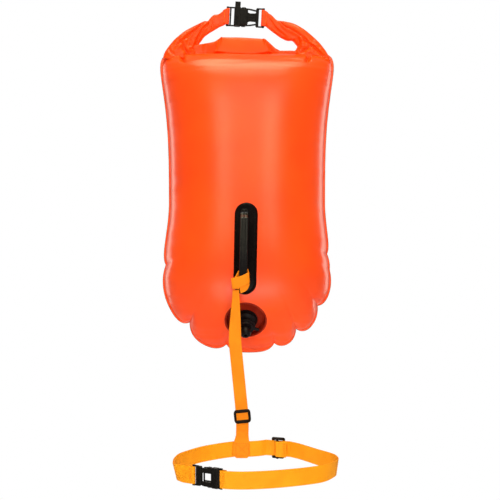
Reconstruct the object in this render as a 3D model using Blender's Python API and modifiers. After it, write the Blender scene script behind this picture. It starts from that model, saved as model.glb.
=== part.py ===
"""Open water swim buoy: a roll-top bag with two air chambers, a whistle buckle, tow patch, leash and belt.

The bag hangs as it does from a hook. +Z is up, the front with the tow patch faces -Y, and the origin is on
the underside of the closed whistle buckle, where a hook carries the loop. All sizes are in metres.
"""

import math
from collections import namedtuple

import bmesh
import bpy
from mathutils import Matrix, Vector

# Clearances, cuts and sheets
GAP = 0.0003
RUNNING_GAP = 0.0005
OVERRUN = 0.003
PANEL_THICKNESS = 0.0008
WEB_THICKNESS = 0.0012
MERGE_DISTANCE = 0.000001

# Bag outline, in the plane of its side seam
BAG_TOP_Z = -0.043
BAG_HEIGHT = 0.510
BAG_BOTTOM_Z = BAG_TOP_Z - BAG_HEIGHT
SHOULDER_HALF_WIDTH = 0.158
WAIST_HALF_WIDTH = 0.132
BASE_HALF_WIDTH = 0.157
SHOULDER_SQUARENESS = 12.0
BASE_SQUARENESS = 3.0
BASE_FLARE_SHARE = 0.62
SEAM_SHARE = 0.045

# Air chambers, each bulging this far from the seam plane
CHAMBER_DEPTH = 0.076
SIDE_CURVE = (2.4, 0.55)
TOP_CURVE = (7.0, 0.5)
BASE_CURVE = (4.6, 1.0)
PUCKER_DEPTH = 0.012
PUCKER_WIDTH_DEGREES = 4.5
PUCKER_DEGREES = (-49.9, -25.2, -7.6, 9.6, 21.1, 34.7, 49.5, 58.0)
PUCKER_DEPTH_SHARES = (0.75, 1.0, 0.6, 0.7, 0.9, 1.0, 0.6, 0.7)
PANEL_COLUMNS = 28
PANEL_ROWS = 30
LINER_COLUMNS = 20
LINER_ROWS = 20

# Rolled top: a middle roll on the bag, and an arm at each side of it that rises to the buckle
ROLL_HEIGHT = 0.0235
ROLL_TOP_HALF_WIDTH = 0.037
ROLL_BASE_HALF_WIDTH = 0.078
ROLL_THICKNESS = 0.016
STIFFENER_HEIGHT = 0.012
STIFFENER_THICKNESS = 0.0016
STIFFENER_HALF_LENGTH = 0.040
TAB_TAIL = 0.0070
ARM_HALF_HEIGHT = 0.0145
ARM_THICKNESS = 0.0110
ARM_ROOT_X = 0.1120
ARM_SOFTNESS = 0.0028
ARM_STATION_DEGREES = (0, 18, 38, 60, 90)
ARM_STATION_SHARES = (
    (0.00, 0.00, 1.00, 1.0),
    (0.25, 0.17, 0.92, 1.1),
    (0.50, 0.38, 1.00, 1.3),
    (0.80, 0.68, 1.35, 1.4),
    (1.00, 1.00, 2.00, 1.2),
)

# Whistle buckle, 25 mm webbing size
WHISTLE_BUCKLE_LENGTH = 0.0650
WHISTLE_BUCKLE_HEIGHT = 0.0330
WHISTLE_BUCKLE_THICKNESS = 0.0090
WHISTLE_BUCKLE_X = -0.0028
WHISTLE_BUCKLE_TILT_DEGREES = 3.0
WHISTLE_SOCKET_BACK = 0.0193
WHISTLE_SOCKET_MOUTH = 0.0045
WHISTLE_CAVITY_DEPTH = 0.0135
WHISTLE_PLUG_BASE = 0.0180
WHISTLE_PLUG_BASE_LENGTH = 0.0044
WHISTLE_PRONG_REACH = 0.0157
WHISTLE_PRONG_PAD = 0.0085
WHISTLE_TONGUE_HALF_HEIGHT = 0.0083
WHISTLE_TONGUE_REACH = 0.0115
WHISTLE_WIDTH = 0.0092
WHISTLE_DEPTH = 0.0056
WHISTLE_INSERT_DEPTH = 0.012
WHISTLE_MOUTH_HEIGHT = 0.009
WHISTLE_AIRWAY_WIDTH = 0.0052
WHISTLE_AIRWAY_DEPTH = 0.0018
WHISTLE_SOUND_SLOT_HEIGHT = 0.0026

# Belt buckle, 25 mm webbing size
BELT_BUCKLE_LENGTH = 0.0480
BELT_BUCKLE_HEIGHT = 0.0290
BELT_BUCKLE_THICKNESS = 0.0084
BELT_SOCKET_BACK = 0.0160
BELT_SOCKET_MOUTH = 0.0080
BELT_CAVITY_DEPTH = 0.0195
BELT_PLUG_BASE = 0.0095
BELT_PLUG_BASE_LENGTH = 0.0050
BELT_PRONG_REACH = 0.0083
BELT_PRONG_PAD = 0.0070
BELT_WINDOW_LENGTH = 0.0100
BELT_WINDOW_HEIGHT = 0.0120

# Both buckles
BUCKLE_WALL = 0.0018
BUCKLE_BEVEL = 0.0011
BAR_WIDTH = 0.0022
BAR_THICKNESS = 0.0020
WHISTLE_RAIL_HEIGHT = 0.0024
BELT_RAIL_HEIGHT = 0.0015
PRONG_THICKNESS = 0.0018
PRONG_BOW = 0.0022
PRONG_PAD_RISE = 0.0015
PRONG_INSET = 0.0026

# Tow patch on the front chamber, and the strap along it
PATCH_X = -0.0020
PATCH_HEIGHT = 0.1480
PATCH_RISE = 0.1020
PATCH_TOP_Z = BAG_BOTTOM_Z + PATCH_RISE + PATCH_HEIGHT
PATCH_WIDTH = 0.0372
PATCH_THICKNESS = 0.0020
PATCH_COLUMNS = 6
PATCH_ROWS = 22
PATCH_LIFT = 0.0005
STRAP_X = -0.0050
STRAP_WIDTH = 0.0132
STRAP_THICKNESS = 0.0020
STRAP_STANDOFF = 0.0085
STRAP_END_INSET = 0.0105
STRAP_END_LENGTH = 0.0050
STRAP_RAMP = 0.0085

# Valves
VALVE_X = -0.0020
VALVE_RISE = 0.0575
VALVE_Z = BAG_BOTTOM_Z + VALVE_RISE
WELL_RADIUS = 0.0325
WELL_DEPTH = 0.0140
WELL_WALL = 0.0012
VALVE_SEAT_DROP = 0.0060
FLANGE_RADIUS = 0.0195
FLANGE_THICKNESS = 0.0020
BOSS_RADIUS = 0.0170
BOSS_HEIGHT = 0.0080
VALVE_DROOP_DEGREES = 12.0
NECK_RADIUS = 0.0110
NECK_LENGTH = 0.0050
SPIGOT_RADIUS = 0.0075
SPIGOT_LENGTH = 0.0125
AIR_BORE_RADIUS = 0.0050
LOCK_RING_RADIUS = 0.0160
LOCK_RING_LENGTH = 0.0074
LOCK_LUG_REACH = 0.0240
LOCK_LUG_DEGREES = -25.0
LOCK_LUG_WIDTH = 0.0060
LOCK_LUG_THICKNESS = 0.0026
MOUTHPIECE_RADIUS = 0.0090
MOUTHPIECE_LENGTH = 0.0065
MOUTHPIECE_BORE_RADIUS = 0.0028
MOUTHPIECE_TRAVEL = 0.0030
FLAP_THICKNESS = 0.0010
BOSS_SHOULDER_SHARE = 0.55
NECK_SINK_SHARE = 0.9
NECK_ROOT_SHARES = ((0.8, -0.4), (0.0, -0.6))
LOCK_RING_PROFILE_SHARES = ((0.86, 1.0), (0.9, 0.55), (0.84, 0.45), (1.0, 0.3), (1.0, 0.0))
MOUTHPIECE_TIP_SHARES = ((0.6, 0.0), (0.85, 0.15), (1.0, 0.5))
TURNED_STEPS = 28

# Leash, 20 mm webbing
LEASH_WIDTH = 0.0200
LEASH_Y = -0.0900
LEASH_TOP_X = -0.0188
LEASH_BEND_DROP = 0.0830
LEASH_SLIDER_X = -0.0070
LEASH_SLIDER_DROP = 0.2010
LEASH_LAYER_GAP = 0.0006
HITCH_WIDTH = 0.0340
HITCH_HEIGHT = 0.0350
HITCH_THICKNESS = 0.0100
HITCH_RISE = 0.1110
HITCH_FOOT_Z = BAG_BOTTOM_Z + HITCH_RISE
LEASH_BEND_Z = HITCH_FOOT_Z - LEASH_BEND_DROP
LEASH_SLIDER_Z = HITCH_FOOT_Z - LEASH_SLIDER_DROP
HITCH_OUTLINE_SHARES = (
    (0.00, 0.00),
    (0.02, 0.42),
    (0.37, 0.87),
    (0.92, 1.00),
    (1.00, 0.66),
    (0.90, 0.14),
    (0.62, 0.00),
)

# Sliders
SLIDER_BAR = 0.0034
SLIDER_THICKNESS = 0.0020
SLIDER_RAIL = 0.0024
LEASH_SLIDER_LENGTH = 0.0222
BELT_SLIDER_LENGTH = 0.0220
FOLD_TAIL = 0.0150

# Belt, 25 mm webbing, lying as a level ring
BELT_WIDTH = 0.0250
BELT_DROP = 0.2550
BELT_Z = HITCH_FOOT_Z - BELT_DROP
BELT_BUCKLE_X = -0.0545
BELT_BUCKLE_Y = -0.2390
BELT_BUCKLE_YAW_DEGREES = 153.0
BELT_SLIDER_X = 0.0500
BELT_SLIDER_Y = -0.0770
BELT_SLIDER_YAW_DEGREES = -17.0
BELT_SLIDER_RUN = 0.0200
BELT_HOOK_TAIL = 0.0140
BELT_SHORT_ROUTE = (
    (-0.0965, -0.2050),
    (-0.1070, -0.1780),
    (-0.1025, -0.1500),
    (-0.0785, -0.1200),
    (-0.0460, -0.0940),
)
BELT_JOIN_Y = -0.0815
BELT_JOIN_HALF_LENGTH = 0.0125
BELT_RISE = (0.0200, -0.0775)
BELT_LONG_ROUTE = (
    (0.0900, -0.1010),
    (0.1150, -0.1350),
    (0.1330, -0.1650),
    (0.1330, -0.1960),
    (0.1060, -0.2260),
    (0.0600, -0.2430),
    (0.0150, -0.2500),
)
ROUTE_STEPS = 5
HAIRPIN_STEPS = 6

BuckleSizes = namedtuple(
    "BuckleSizes",
    "name length height thickness rail back mouth cavity base base_length reach pad tongue tongue_reach",
)


def clear_scene():
    for old in list(bpy.data.objects):
        bpy.data.objects.remove(old, do_unlink=True)


def new_collection(name):
    collection = bpy.data.collections.new(name)
    bpy.context.scene.collection.children.link(collection)
    return collection


def new_material(name, colour, roughness):
    material = bpy.data.materials.new(name)
    material.use_nodes = True
    shader = material.node_tree.nodes["Principled BSDF"]
    shader.inputs["Base Color"].default_value = (*colour, 1.0)
    shader.inputs["Roughness"].default_value = roughness
    shader.inputs["Metallic"].default_value = 0.0
    return material


clear_scene()
PARTS = new_collection("swim_buoy")
CUTTERS = new_collection("cutters")
FABRIC = new_material("orange_coated_fabric", (1.0, 0.13, 0.02), 0.35)
LINING = new_material("inner_film", (0.9, 0.25, 0.08), 0.45)
WEBBING = new_material("yellow_webbing", (0.97, 0.38, 0.02), 0.7)
PLASTIC = new_material("black_plastic", (0.012, 0.012, 0.011), 0.4)
RUBBER = new_material("black_gloss_rubber", (0.006, 0.005, 0.005), 0.2)
WELL = new_material("dark_red_film", (0.18, 0.02, 0.01), 0.35)


def new_frame(name, location, rotation, parent=None):
    """An empty that carries what is placed in its own axes."""
    frame = bpy.data.objects.new(name, None)
    frame.rotation_mode = "QUATERNION"
    frame.location = location
    frame.rotation_quaternion = rotation
    frame.parent = parent
    PARTS.objects.link(frame)
    return frame


def hang_on(item, frame):
    """Parents an item to an upright empty, while its places stay those of the whole bag."""
    item.parent = frame
    item.matrix_parent_inverse = Matrix.Translation(-frame.location)


def new_part(name, mesh, material, parent=None):
    mesh.materials.append(material)
    part = bpy.data.objects.new(name, mesh)
    part.parent = parent
    PARTS.objects.link(part)
    return part


def new_cutter(name, mesh, parent=None):
    cutter = bpy.data.objects.new(name, mesh)
    cutter.parent = parent
    cutter.hide_render = True
    cutter.display_type = "WIRE"
    CUTTERS.objects.link(cutter)
    return cutter


def mesh_of(shape, name):
    mesh = bpy.data.meshes.new(name)
    bmesh.ops.recalc_face_normals(shape, faces=shape.faces)
    shape.to_mesh(mesh)
    shape.free()
    return mesh


def box_mesh(name, low, high, bevel=0.0):
    """A box between two opposite corners, its long edges rounded off by a bevel."""
    low = Vector(low)
    high = Vector(high)
    shape = bmesh.new()
    bmesh.ops.create_cube(shape, size=1.0)
    size = high - low
    bmesh.ops.scale(shape, vec=size, verts=shape.verts)
    bmesh.ops.translate(shape, vec=(low + high) / 2, verts=shape.verts)
    if bevel:
        bmesh.ops.bevel(
            shape, geom=shape.edges[:], offset=bevel, segments=2, profile=0.5, affect="EDGES"
        )
    return mesh_of(shape, name)


def cylinder_mesh(name, radius, length, steps=TURNED_STEPS):
    shape = bmesh.new()
    bmesh.ops.create_cone(
        shape,
        cap_ends=True,
        segments=steps,
        radius1=radius,
        radius2=radius,
        depth=length,
    )
    return mesh_of(shape, name)


def plate_mesh(name, outline, low_y, high_y):
    """A plate of an outline given as (x, z) pairs, from one depth to another."""
    shape = bmesh.new()
    face = shape.faces.new([shape.verts.new((x, low_y, z)) for x, z in outline])
    grown = bmesh.ops.extrude_face_region(shape, geom=[face])
    moved = [item for item in grown["geom"] if isinstance(item, bmesh.types.BMVert)]
    bmesh.ops.translate(shape, vec=(0.0, high_y - low_y, 0.0), verts=moved)
    return mesh_of(shape, name)


def profile_mesh(name, profile, closed):
    """The half outline of a turned shape, as (radius, height) pairs that run down its outer side."""
    shape = bmesh.new()
    points = [shape.verts.new((radius, 0.0, height)) for radius, height in profile]
    pairs = list(zip(points, points[1:]))
    if closed:
        pairs.append((points[-1], points[0]))
    for pair in pairs:
        shape.edges.new(pair)
    mesh = bpy.data.meshes.new(name)
    shape.to_mesh(mesh)
    shape.free()
    return mesh


def add_screw(part, steps=TURNED_STEPS):
    screw = part.modifiers.new("turned", "SCREW")
    screw.axis = "Z"
    screw.steps = steps
    screw.render_steps = steps
    screw.use_merge_vertices = True
    screw.merge_threshold = MERGE_DISTANCE
    screw.use_smooth_shade = True


def turned_part(name, profile, material, parent, closed=False):
    part = new_part(name, profile_mesh(name, profile, closed), material, parent)
    add_screw(part)
    return part


def turned_cutter(name, profile, parent, closed=False):
    cutter = new_cutter(name, profile_mesh(name, profile, closed), parent)
    add_screw(cutter)
    return cutter


def add_boolean(part, other, operation):
    cut = part.modifiers.new(f"{operation.lower()} {other.name}", "BOOLEAN")
    cut.operation = operation
    cut.solver = "EXACT"
    cut.object = other


def cut_box(part, name, low, high, bevel=0.0):
    cutter = new_cutter(name, box_mesh(name, low, high, bevel), part.parent)
    add_boolean(part, cutter, "DIFFERENCE")


def join_box(part, name, low, high, bevel=0.0):
    helper = new_cutter(name, box_mesh(name, low, high, bevel), part.parent)
    add_boolean(part, helper, "UNION")


def add_solidify(part, thickness):
    shell = part.modifiers.new("thickness", "SOLIDIFY")
    shell.thickness = thickness
    shell.offset = 0.0
    shell.use_even_offset = False


def shade_round(part):
    part.data.shade_smooth()
    part.data.set_sharp_from_angle(angle=math.radians(40))


# Bag outline and bulge


def bag_middle_z():
    return BAG_TOP_Z - BAG_HEIGHT / 2


def squareness(height_share):
    return SHOULDER_SQUARENESS if height_share > 0 else BASE_SQUARENESS


def half_width_at(height_share):
    """Half the bag's width at a share of its half height, before the corners are rounded."""
    if height_share > 0:
        return WAIST_HALF_WIDTH + (SHOULDER_HALF_WIDTH - WAIST_HALF_WIDTH) * height_share**3
    flare = min(1.0, -height_share / BASE_FLARE_SHARE)
    return WAIST_HALF_WIDTH + (BASE_HALF_WIDTH - WAIST_HALF_WIDTH) * math.sin(math.pi * flare / 2) ** 2


def corner_share(height_share):
    """How far the rounded corners leave of the width at a share of the half height."""
    power = squareness(height_share)
    return max(0.0, 1 - abs(height_share) ** power) ** (1 / power)


def bulge(x, z):
    """How far a chamber stands out from its seam at a place of the outline's plane."""
    height_share = (z - bag_middle_z()) / (BAG_HEIGHT / 2) / (1 - SEAM_SHARE)
    if abs(height_share) >= 1:
        return 0.0
    reach = half_width_at(height_share) * corner_share(height_share) * (1 - SEAM_SHARE)
    side_share = min(1.0, abs(x) / reach)
    side_power, side_root = SIDE_CURVE
    end_power, end_root = TOP_CURVE if height_share > 0 else BASE_CURVE
    across = (1 - side_share**side_power) ** side_root
    along = (1 - abs(height_share) ** end_power) ** end_root
    return CHAMBER_DEPTH * across * along


def pucker(degrees):
    """How deep the puckers draw the rim in, at an angle from straight down."""
    return PUCKER_DEPTH * sum(
        share * math.exp(-abs(degrees - middle) / PUCKER_WIDTH_DEGREES)
        for middle, share in zip(PUCKER_DEGREES, PUCKER_DEPTH_SHARES)
    )


def outline_place(across, up):
    """The place in the seam plane of a point of the square from -1 to 1, and how far it bulges."""
    reach = max(abs(across), abs(up))
    if reach == 0:
        return 0.0, bag_middle_z(), bulge(0.0, bag_middle_z())
    power = squareness(up)
    length = math.hypot(across, up)
    square_reach = length / reach
    rounded_reach = ((abs(across) / length) ** power + (abs(up) / length) ** power) ** (-1 / power)
    ratio = rounded_reach / square_reach
    height_share = up * ratio
    x = across * ratio * half_width_at(height_share)
    z = bag_middle_z() + height_share * BAG_HEIGHT / 2
    depth = 0.0 if reach > 1 - SEAM_SHARE + MERGE_DISTANCE / BAG_HEIGHT else bulge(x, z)
    drawn_in = pucker(math.degrees(math.atan2(across, -up))) * reach**3
    shrink = 1 - drawn_in / math.hypot(x, z - bag_middle_z())
    return x * shrink, bag_middle_z() + (z - bag_middle_z()) * shrink, depth


def spaced(share):
    """A grid line's place, closer together near the rim, with the seam as the outermost strip."""
    if abs(share) > 1 - MERGE_DISTANCE:
        return share
    return (share + math.sin(math.pi * share / 2)) / 2


def grid_line(share, count):
    inner = share / (1 - 2 / count)
    if abs(inner) > 1 + MERGE_DISTANCE:
        return math.copysign(1.0, share)
    return spaced(inner) * (1 - SEAM_SHARE)


def bag_sheet(name, columns, rows, offset, bulging, facing, material):
    """One sheet of the bag, flat or bulging, standing off the seam plane on the side that it faces."""
    shape = bmesh.new()
    bmesh.ops.create_grid(shape, x_segments=columns, y_segments=rows, size=1.0)
    for point in shape.verts:
        across = grid_line(point.co.x, columns)
        up = grid_line(point.co.y, rows)
        x, z, depth = outline_place(across, up)
        point.co = (x, facing * (offset + (depth if bulging else 0.0)), z)
    part = new_part(name, mesh_of(shape, name), material)
    add_solidify(part, PANEL_THICKNESS)
    shade_round(part)
    return part


LINER_OFFSET = GAP / 2 + PANEL_THICKNESS / 2
PANEL_OFFSET = LINER_OFFSET + GAP + PANEL_THICKNESS
FRONT = -1
REAR = 1


def make_bag_sheets():
    panels = {}
    for side, facing in (("front", FRONT), ("rear", REAR)):
        panels[side] = bag_sheet(
            f"{side}_outer_panel", PANEL_COLUMNS, PANEL_ROWS, PANEL_OFFSET, True, facing, FABRIC
        )
        bag_sheet(f"{side}_liner", LINER_COLUMNS, LINER_ROWS, LINER_OFFSET, False, facing, LINING)
    return panels


def surface_y(x, z, facing):
    """The outer face of a chamber's panel."""
    return facing * (PANEL_OFFSET + PANEL_THICKNESS / 2 + bulge(x, z))


def surface_normal(x, z, facing):
    step = PATCH_THICKNESS
    slope_x = (surface_y(x + step, z, facing) - surface_y(x - step, z, facing)) / (2 * step)
    slope_z = (surface_y(x, z + step, facing) - surface_y(x, z - step, facing)) / (2 * step)
    return Vector((-facing * slope_x, facing * 1.0, -facing * slope_z)).normalized()


# Strips of webbing


def smooth_route(points, steps=ROUTE_STEPS):
    """Points of a Catmull-Rom curve through the route's own points."""
    points = [Vector(point) for point in points]
    ends = [2 * points[0] - points[1], *points, 2 * points[-1] - points[-2]]
    route = []
    for before, start, end, after in zip(ends, ends[1:], ends[2:], ends[3:]):
        for step in range(steps):
            share = step / steps
            curve = (
                2 * start
                + (end - before) * share
                + (2 * before - 5 * start + 4 * end - after) * share**2
                + (3 * start - before - 3 * end + after) * share**3
            )
            route.append(curve / 2)
    route.append(points[-1])
    return route


def hairpin(centre, start_direction, turn_normal, radius):
    """A half turn of a strip about a bar, from one side of it to the other."""
    out = Vector(start_direction).normalized()
    side = Vector(turn_normal).normalized()
    centre = Vector(centre)
    turn = []
    for step in range(HAIRPIN_STEPS + 1):
        angle = math.pi * step / HAIRPIN_STEPS
        turn.append(centre + side * (radius * math.cos(angle)) + out * (radius * math.sin(angle)))
    return turn


def strip_mesh(name, route, across, width):
    """An open band that follows a route, as wide as given along the direction across it."""
    half = Vector(across).normalized() * (width / 2)
    shape = bmesh.new()
    edges = []
    for point in route:
        edges.append((shape.verts.new(point - half), shape.verts.new(point + half)))
    for (low, high), (next_low, next_high) in zip(edges, edges[1:]):
        shape.faces.new((low, high, next_high, next_low))
    mesh = bpy.data.meshes.new(name)
    shape.to_mesh(mesh)
    shape.free()
    return mesh


def strip_part(name, route, across, width, thickness, material, parent=None):
    part = new_part(name, strip_mesh(name, route, across, width), material, parent)
    shell = part.modifiers.new("thickness", "SOLIDIFY")
    shell.thickness = thickness
    shell.offset = 0.0
    shell.use_even_offset = True
    return part


HOOK_RADIUS = BAR_THICKNESS / 2 + RUNNING_GAP + WEB_THICKNESS / 2 + GAP


# Side release buckles. Each is built about its own centre, with the socket at -x and the plug at +x.


def buckle_end(part, sizes, end_x, inner_x, name):
    """The rails and the web bar at one end of a buckle, as a flat frame with a slot."""
    half = sizes.height / 2
    sign = math.copysign(1.0, end_x)
    low_x, high_x = sorted((end_x, inner_x))
    join_box(
        part,
        f"{name}_frame",
        (low_x, -BAR_THICKNESS / 2, -half),
        (high_x, BAR_THICKNESS / 2, half),
        BAR_THICKNESS / 5,
    )
    slot_low, slot_high = sorted((end_x - sign * BAR_WIDTH, inner_x + sign * OVERRUN / 2))
    cut_box(
        part,
        f"{name}_slot",
        (slot_low, -sizes.thickness, -half + sizes.rail),
        (slot_high, sizes.thickness, half - sizes.rail),
    )


def make_socket(sizes, material, frame):
    half = sizes.height / 2
    socket = new_part(
        f"{sizes.name}_socket",
        box_mesh(
            f"{sizes.name}_socket",
            (-sizes.back, -sizes.thickness / 2, -half),
            (sizes.mouth, sizes.thickness / 2, half),
            BUCKLE_BEVEL,
        ),
        material,
        frame,
    )
    cavity_half = sizes.thickness / 2 - BUCKLE_WALL
    cut_box(
        socket,
        f"{sizes.name}_cavity",
        (sizes.mouth - sizes.cavity, -cavity_half, -half - OVERRUN),
        (sizes.mouth + OVERRUN, cavity_half, half + OVERRUN),
    )
    buckle_end(
        socket, sizes, -sizes.length / 2, -sizes.back + OVERRUN / 2, f"{sizes.name}_socket"
    )
    return socket


def make_plug(sizes, material, frame):
    half = sizes.height / 2
    plug_half = sizes.thickness / 2 - BUCKLE_WALL - GAP
    plug = new_part(
        f"{sizes.name}_plug",
        box_mesh(
            f"{sizes.name}_plug",
            (sizes.base, -plug_half, -half + sizes.rail / 2),
            (sizes.base + sizes.base_length, plug_half, half - sizes.rail / 2),
            BUCKLE_BEVEL / 2,
        ),
        material,
        frame,
    )
    if sizes.tongue:
        join_box(
            plug,
            f"{sizes.name}_tongue",
            (sizes.mouth - sizes.tongue_reach, -plug_half, -sizes.tongue),
            (sizes.base + OVERRUN / 2, plug_half, sizes.tongue),
            BUCKLE_BEVEL / 2,
        )
    inner = sizes.base + sizes.base_length - OVERRUN / 2
    buckle_end(plug, sizes, sizes.length / 2, inner, f"{sizes.name}_plug")
    return plug


def prong_outline(sizes):
    """The outline of the upper prong about its root, as (x, z) pairs running round it."""
    half = PRONG_THICKNESS / 2
    reach = sizes.reach
    pad_end = reach + sizes.pad
    root_steps = 4
    arm_steps = 6
    outline = []
    for step in range(root_steps + 1):
        angle = math.pi * (step / root_steps - 0.5)
        outline.append((half * math.cos(angle), half * math.sin(angle)))
    for step in range(1, arm_steps + 1):
        share = step / arm_steps
        outline.append((-reach * share, PRONG_BOW * math.sin(math.pi * share / 2) + half))
    top = PRONG_BOW + half + PRONG_PAD_RISE
    outline.append((-reach - PRONG_PAD_RISE, top))
    outline.append((-pad_end + PRONG_PAD_RISE, top))
    outline.append((-pad_end, top - PRONG_PAD_RISE))
    outline.append((-pad_end, PRONG_BOW - half))
    for step in range(arm_steps, 0, -1):
        share = step / arm_steps
        outline.append((-reach * share, PRONG_BOW * math.sin(math.pi * share / 2) - half))
    return outline


def make_prong(sizes, side, material, frame):
    """A springy arm of the plug, with its pad, that turns about its root."""
    up = 1 if side == "upper" else -1
    curve = bpy.data.curves.new(f"{sizes.name}_prong_{side}", "CURVE")
    curve.dimensions = "2D"
    curve.fill_mode = "BOTH"
    plug_half = sizes.thickness / 2 - BUCKLE_WALL - GAP
    curve.extrude = plug_half - GAP
    outline = prong_outline(sizes)
    spline = curve.splines.new("POLY")
    spline.points.add(len(outline) - 1)
    for point, (x, z) in zip(spline.points, outline):
        point.co = (x, up * z, 0.0, 1.0)
    spline.use_cyclic_u = True
    curve.materials.append(material)
    prong = bpy.data.objects.new(f"{sizes.name}_prong_{side}", curve)
    prong.parent = frame
    root_x = sizes.base - GAP - PRONG_THICKNESS / 2
    root_z = sizes.height / 2 - PRONG_INSET - PRONG_BOW
    prong.location = (root_x, 0.0, up * root_z)
    prong.rotation_euler = (math.pi / 2, 0.0, 0.0)
    PARTS.objects.link(prong)
    return prong


WHISTLE_BUCKLE = BuckleSizes(
    "whistle",
    WHISTLE_BUCKLE_LENGTH,
    WHISTLE_BUCKLE_HEIGHT,
    WHISTLE_BUCKLE_THICKNESS,
    WHISTLE_RAIL_HEIGHT,
    WHISTLE_SOCKET_BACK,
    WHISTLE_SOCKET_MOUTH,
    WHISTLE_CAVITY_DEPTH,
    WHISTLE_PLUG_BASE,
    WHISTLE_PLUG_BASE_LENGTH,
    WHISTLE_PRONG_REACH,
    WHISTLE_PRONG_PAD,
    WHISTLE_TONGUE_HALF_HEIGHT,
    WHISTLE_TONGUE_REACH,
)
BELT_BUCKLE = BuckleSizes(
    "belt",
    BELT_BUCKLE_LENGTH,
    BELT_BUCKLE_HEIGHT,
    BELT_BUCKLE_THICKNESS,
    BELT_RAIL_HEIGHT,
    BELT_SOCKET_BACK,
    BELT_SOCKET_MOUTH,
    BELT_CAVITY_DEPTH,
    BELT_PLUG_BASE,
    BELT_PLUG_BASE_LENGTH,
    BELT_PRONG_REACH,
    BELT_PRONG_PAD,
    0.0,
    0.0,
)


def make_whistle(socket, frame):
    """The whistle: an insert in the socket's solid end, with its mouthpiece standing above the edge."""
    half = WHISTLE_BUCKLE_HEIGHT / 2
    left = -WHISTLE_SOCKET_BACK + BUCKLE_BEVEL
    right = left + WHISTLE_WIDTH
    bottom = half - WHISTLE_INSERT_DEPTH
    cut_box(
        socket,
        "whistle_pocket",
        (left - GAP, -WHISTLE_DEPTH / 2 - GAP, bottom - GAP),
        (right + GAP, WHISTLE_DEPTH / 2 + GAP, half + OVERRUN),
    )
    middle = (left + right) / 2
    slot_top = half - WHISTLE_INSERT_DEPTH / 3
    cut_box(
        socket,
        "sound_slot",
        (
            middle - WHISTLE_AIRWAY_WIDTH / 2,
            -WHISTLE_BUCKLE_THICKNESS,
            slot_top - WHISTLE_SOUND_SLOT_HEIGHT,
        ),
        (middle + WHISTLE_AIRWAY_WIDTH / 2, 0.0, slot_top),
    )
    whistle = new_part(
        "whistle",
        box_mesh(
            "whistle",
            (left, -WHISTLE_DEPTH / 2, bottom),
            (right, WHISTLE_DEPTH / 2, half + WHISTLE_MOUTH_HEIGHT),
            BUCKLE_BEVEL / 2,
        ),
        PLASTIC,
        frame,
    )
    cut_box(
        whistle,
        "airway",
        (middle - WHISTLE_AIRWAY_WIDTH / 2, -WHISTLE_AIRWAY_DEPTH / 2, bottom + BUCKLE_WALL),
        (
            middle + WHISTLE_AIRWAY_WIDTH / 2,
            WHISTLE_AIRWAY_DEPTH / 2,
            half + WHISTLE_MOUTH_HEIGHT + OVERRUN,
        ),
    )
    cut_box(
        whistle,
        "sound_window",
        (
            middle - WHISTLE_AIRWAY_WIDTH / 2,
            -WHISTLE_DEPTH,
            slot_top - WHISTLE_SOUND_SLOT_HEIGHT,
        ),
        (middle + WHISTLE_AIRWAY_WIDTH / 2, 0.0, slot_top),
    )


def web_loop(name, frame, bar_x, tail, material):
    """A short loop of webbing round a buckle's end bar, its two legs side by side towards its own end."""
    sign = math.copysign(1.0, bar_x)
    toward_buckle = (-sign, 0.0, 0.0)
    front = Vector((bar_x + sign * tail, -HOOK_RADIUS, 0.0))
    back = Vector((bar_x + sign * tail, HOOK_RADIUS, 0.0))
    turn = hairpin((bar_x, 0.0, 0.0), toward_buckle, (0.0, -1.0, 0.0), HOOK_RADIUS)
    width = WHISTLE_BUCKLE_HEIGHT - 2 * WHISTLE_RAIL_HEIGHT - 2 * RUNNING_GAP
    return strip_part(
        name, [front, *turn, back], (0.0, 0.0, 1.0), width, WEB_THICKNESS, material, frame
    )


def make_whistle_buckle():
    tilt = Matrix.Rotation(math.radians(WHISTLE_BUCKLE_TILT_DEGREES), 3, "Y").to_quaternion()
    frame = new_frame(
        "whistle_buckle_frame", (WHISTLE_BUCKLE_X, 0.0, WHISTLE_BUCKLE_HEIGHT / 2), tilt
    )
    socket = make_socket(WHISTLE_BUCKLE, PLASTIC, frame)
    make_whistle(socket, frame)
    make_plug(WHISTLE_BUCKLE, PLASTIC, frame)
    for side in ("upper", "lower"):
        make_prong(WHISTLE_BUCKLE, side, PLASTIC, frame)
    bar_x = WHISTLE_BUCKLE_LENGTH / 2 - BAR_WIDTH / 2
    web_loop("left_buckle_tab", frame, -bar_x, TAB_TAIL, FABRIC)
    web_loop("right_buckle_tab", frame, bar_x, TAB_TAIL, FABRIC)
    return frame


# Rolled top


def band_mesh(name, stations):
    """A coarse cage along stations, each its centre, its direction across and its half sizes."""
    shape = bmesh.new()
    rings = []
    for centre, across, half_height, half_thickness in stations:
        centre = Vector(centre)
        across = Vector(across).normalized() * half_height
        depth = Vector((0.0, half_thickness, 0.0))
        corners = (-across - depth, across - depth, across + depth, -across + depth)
        rings.append([shape.verts.new(centre + corner) for corner in corners])
    for ring, after in zip(rings, rings[1:]):
        for index in range(len(ring)):
            following = (index + 1) % len(ring)
            shape.faces.new((ring[index], ring[following], after[following], after[index]))
    shape.faces.new(rings[0])
    shape.faces.new(list(reversed(rings[-1])))
    return mesh_of(shape, name)


def soft_band(name, stations):
    part = new_part(name, band_mesh(name, stations), FABRIC)
    bevel = part.modifiers.new("soft edges", "BEVEL")
    bevel.width = ARM_SOFTNESS
    bevel.segments = 3
    bevel.limit_method = "ANGLE"
    bevel.angle_limit = math.radians(50)
    shade_round(part)
    return part


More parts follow.
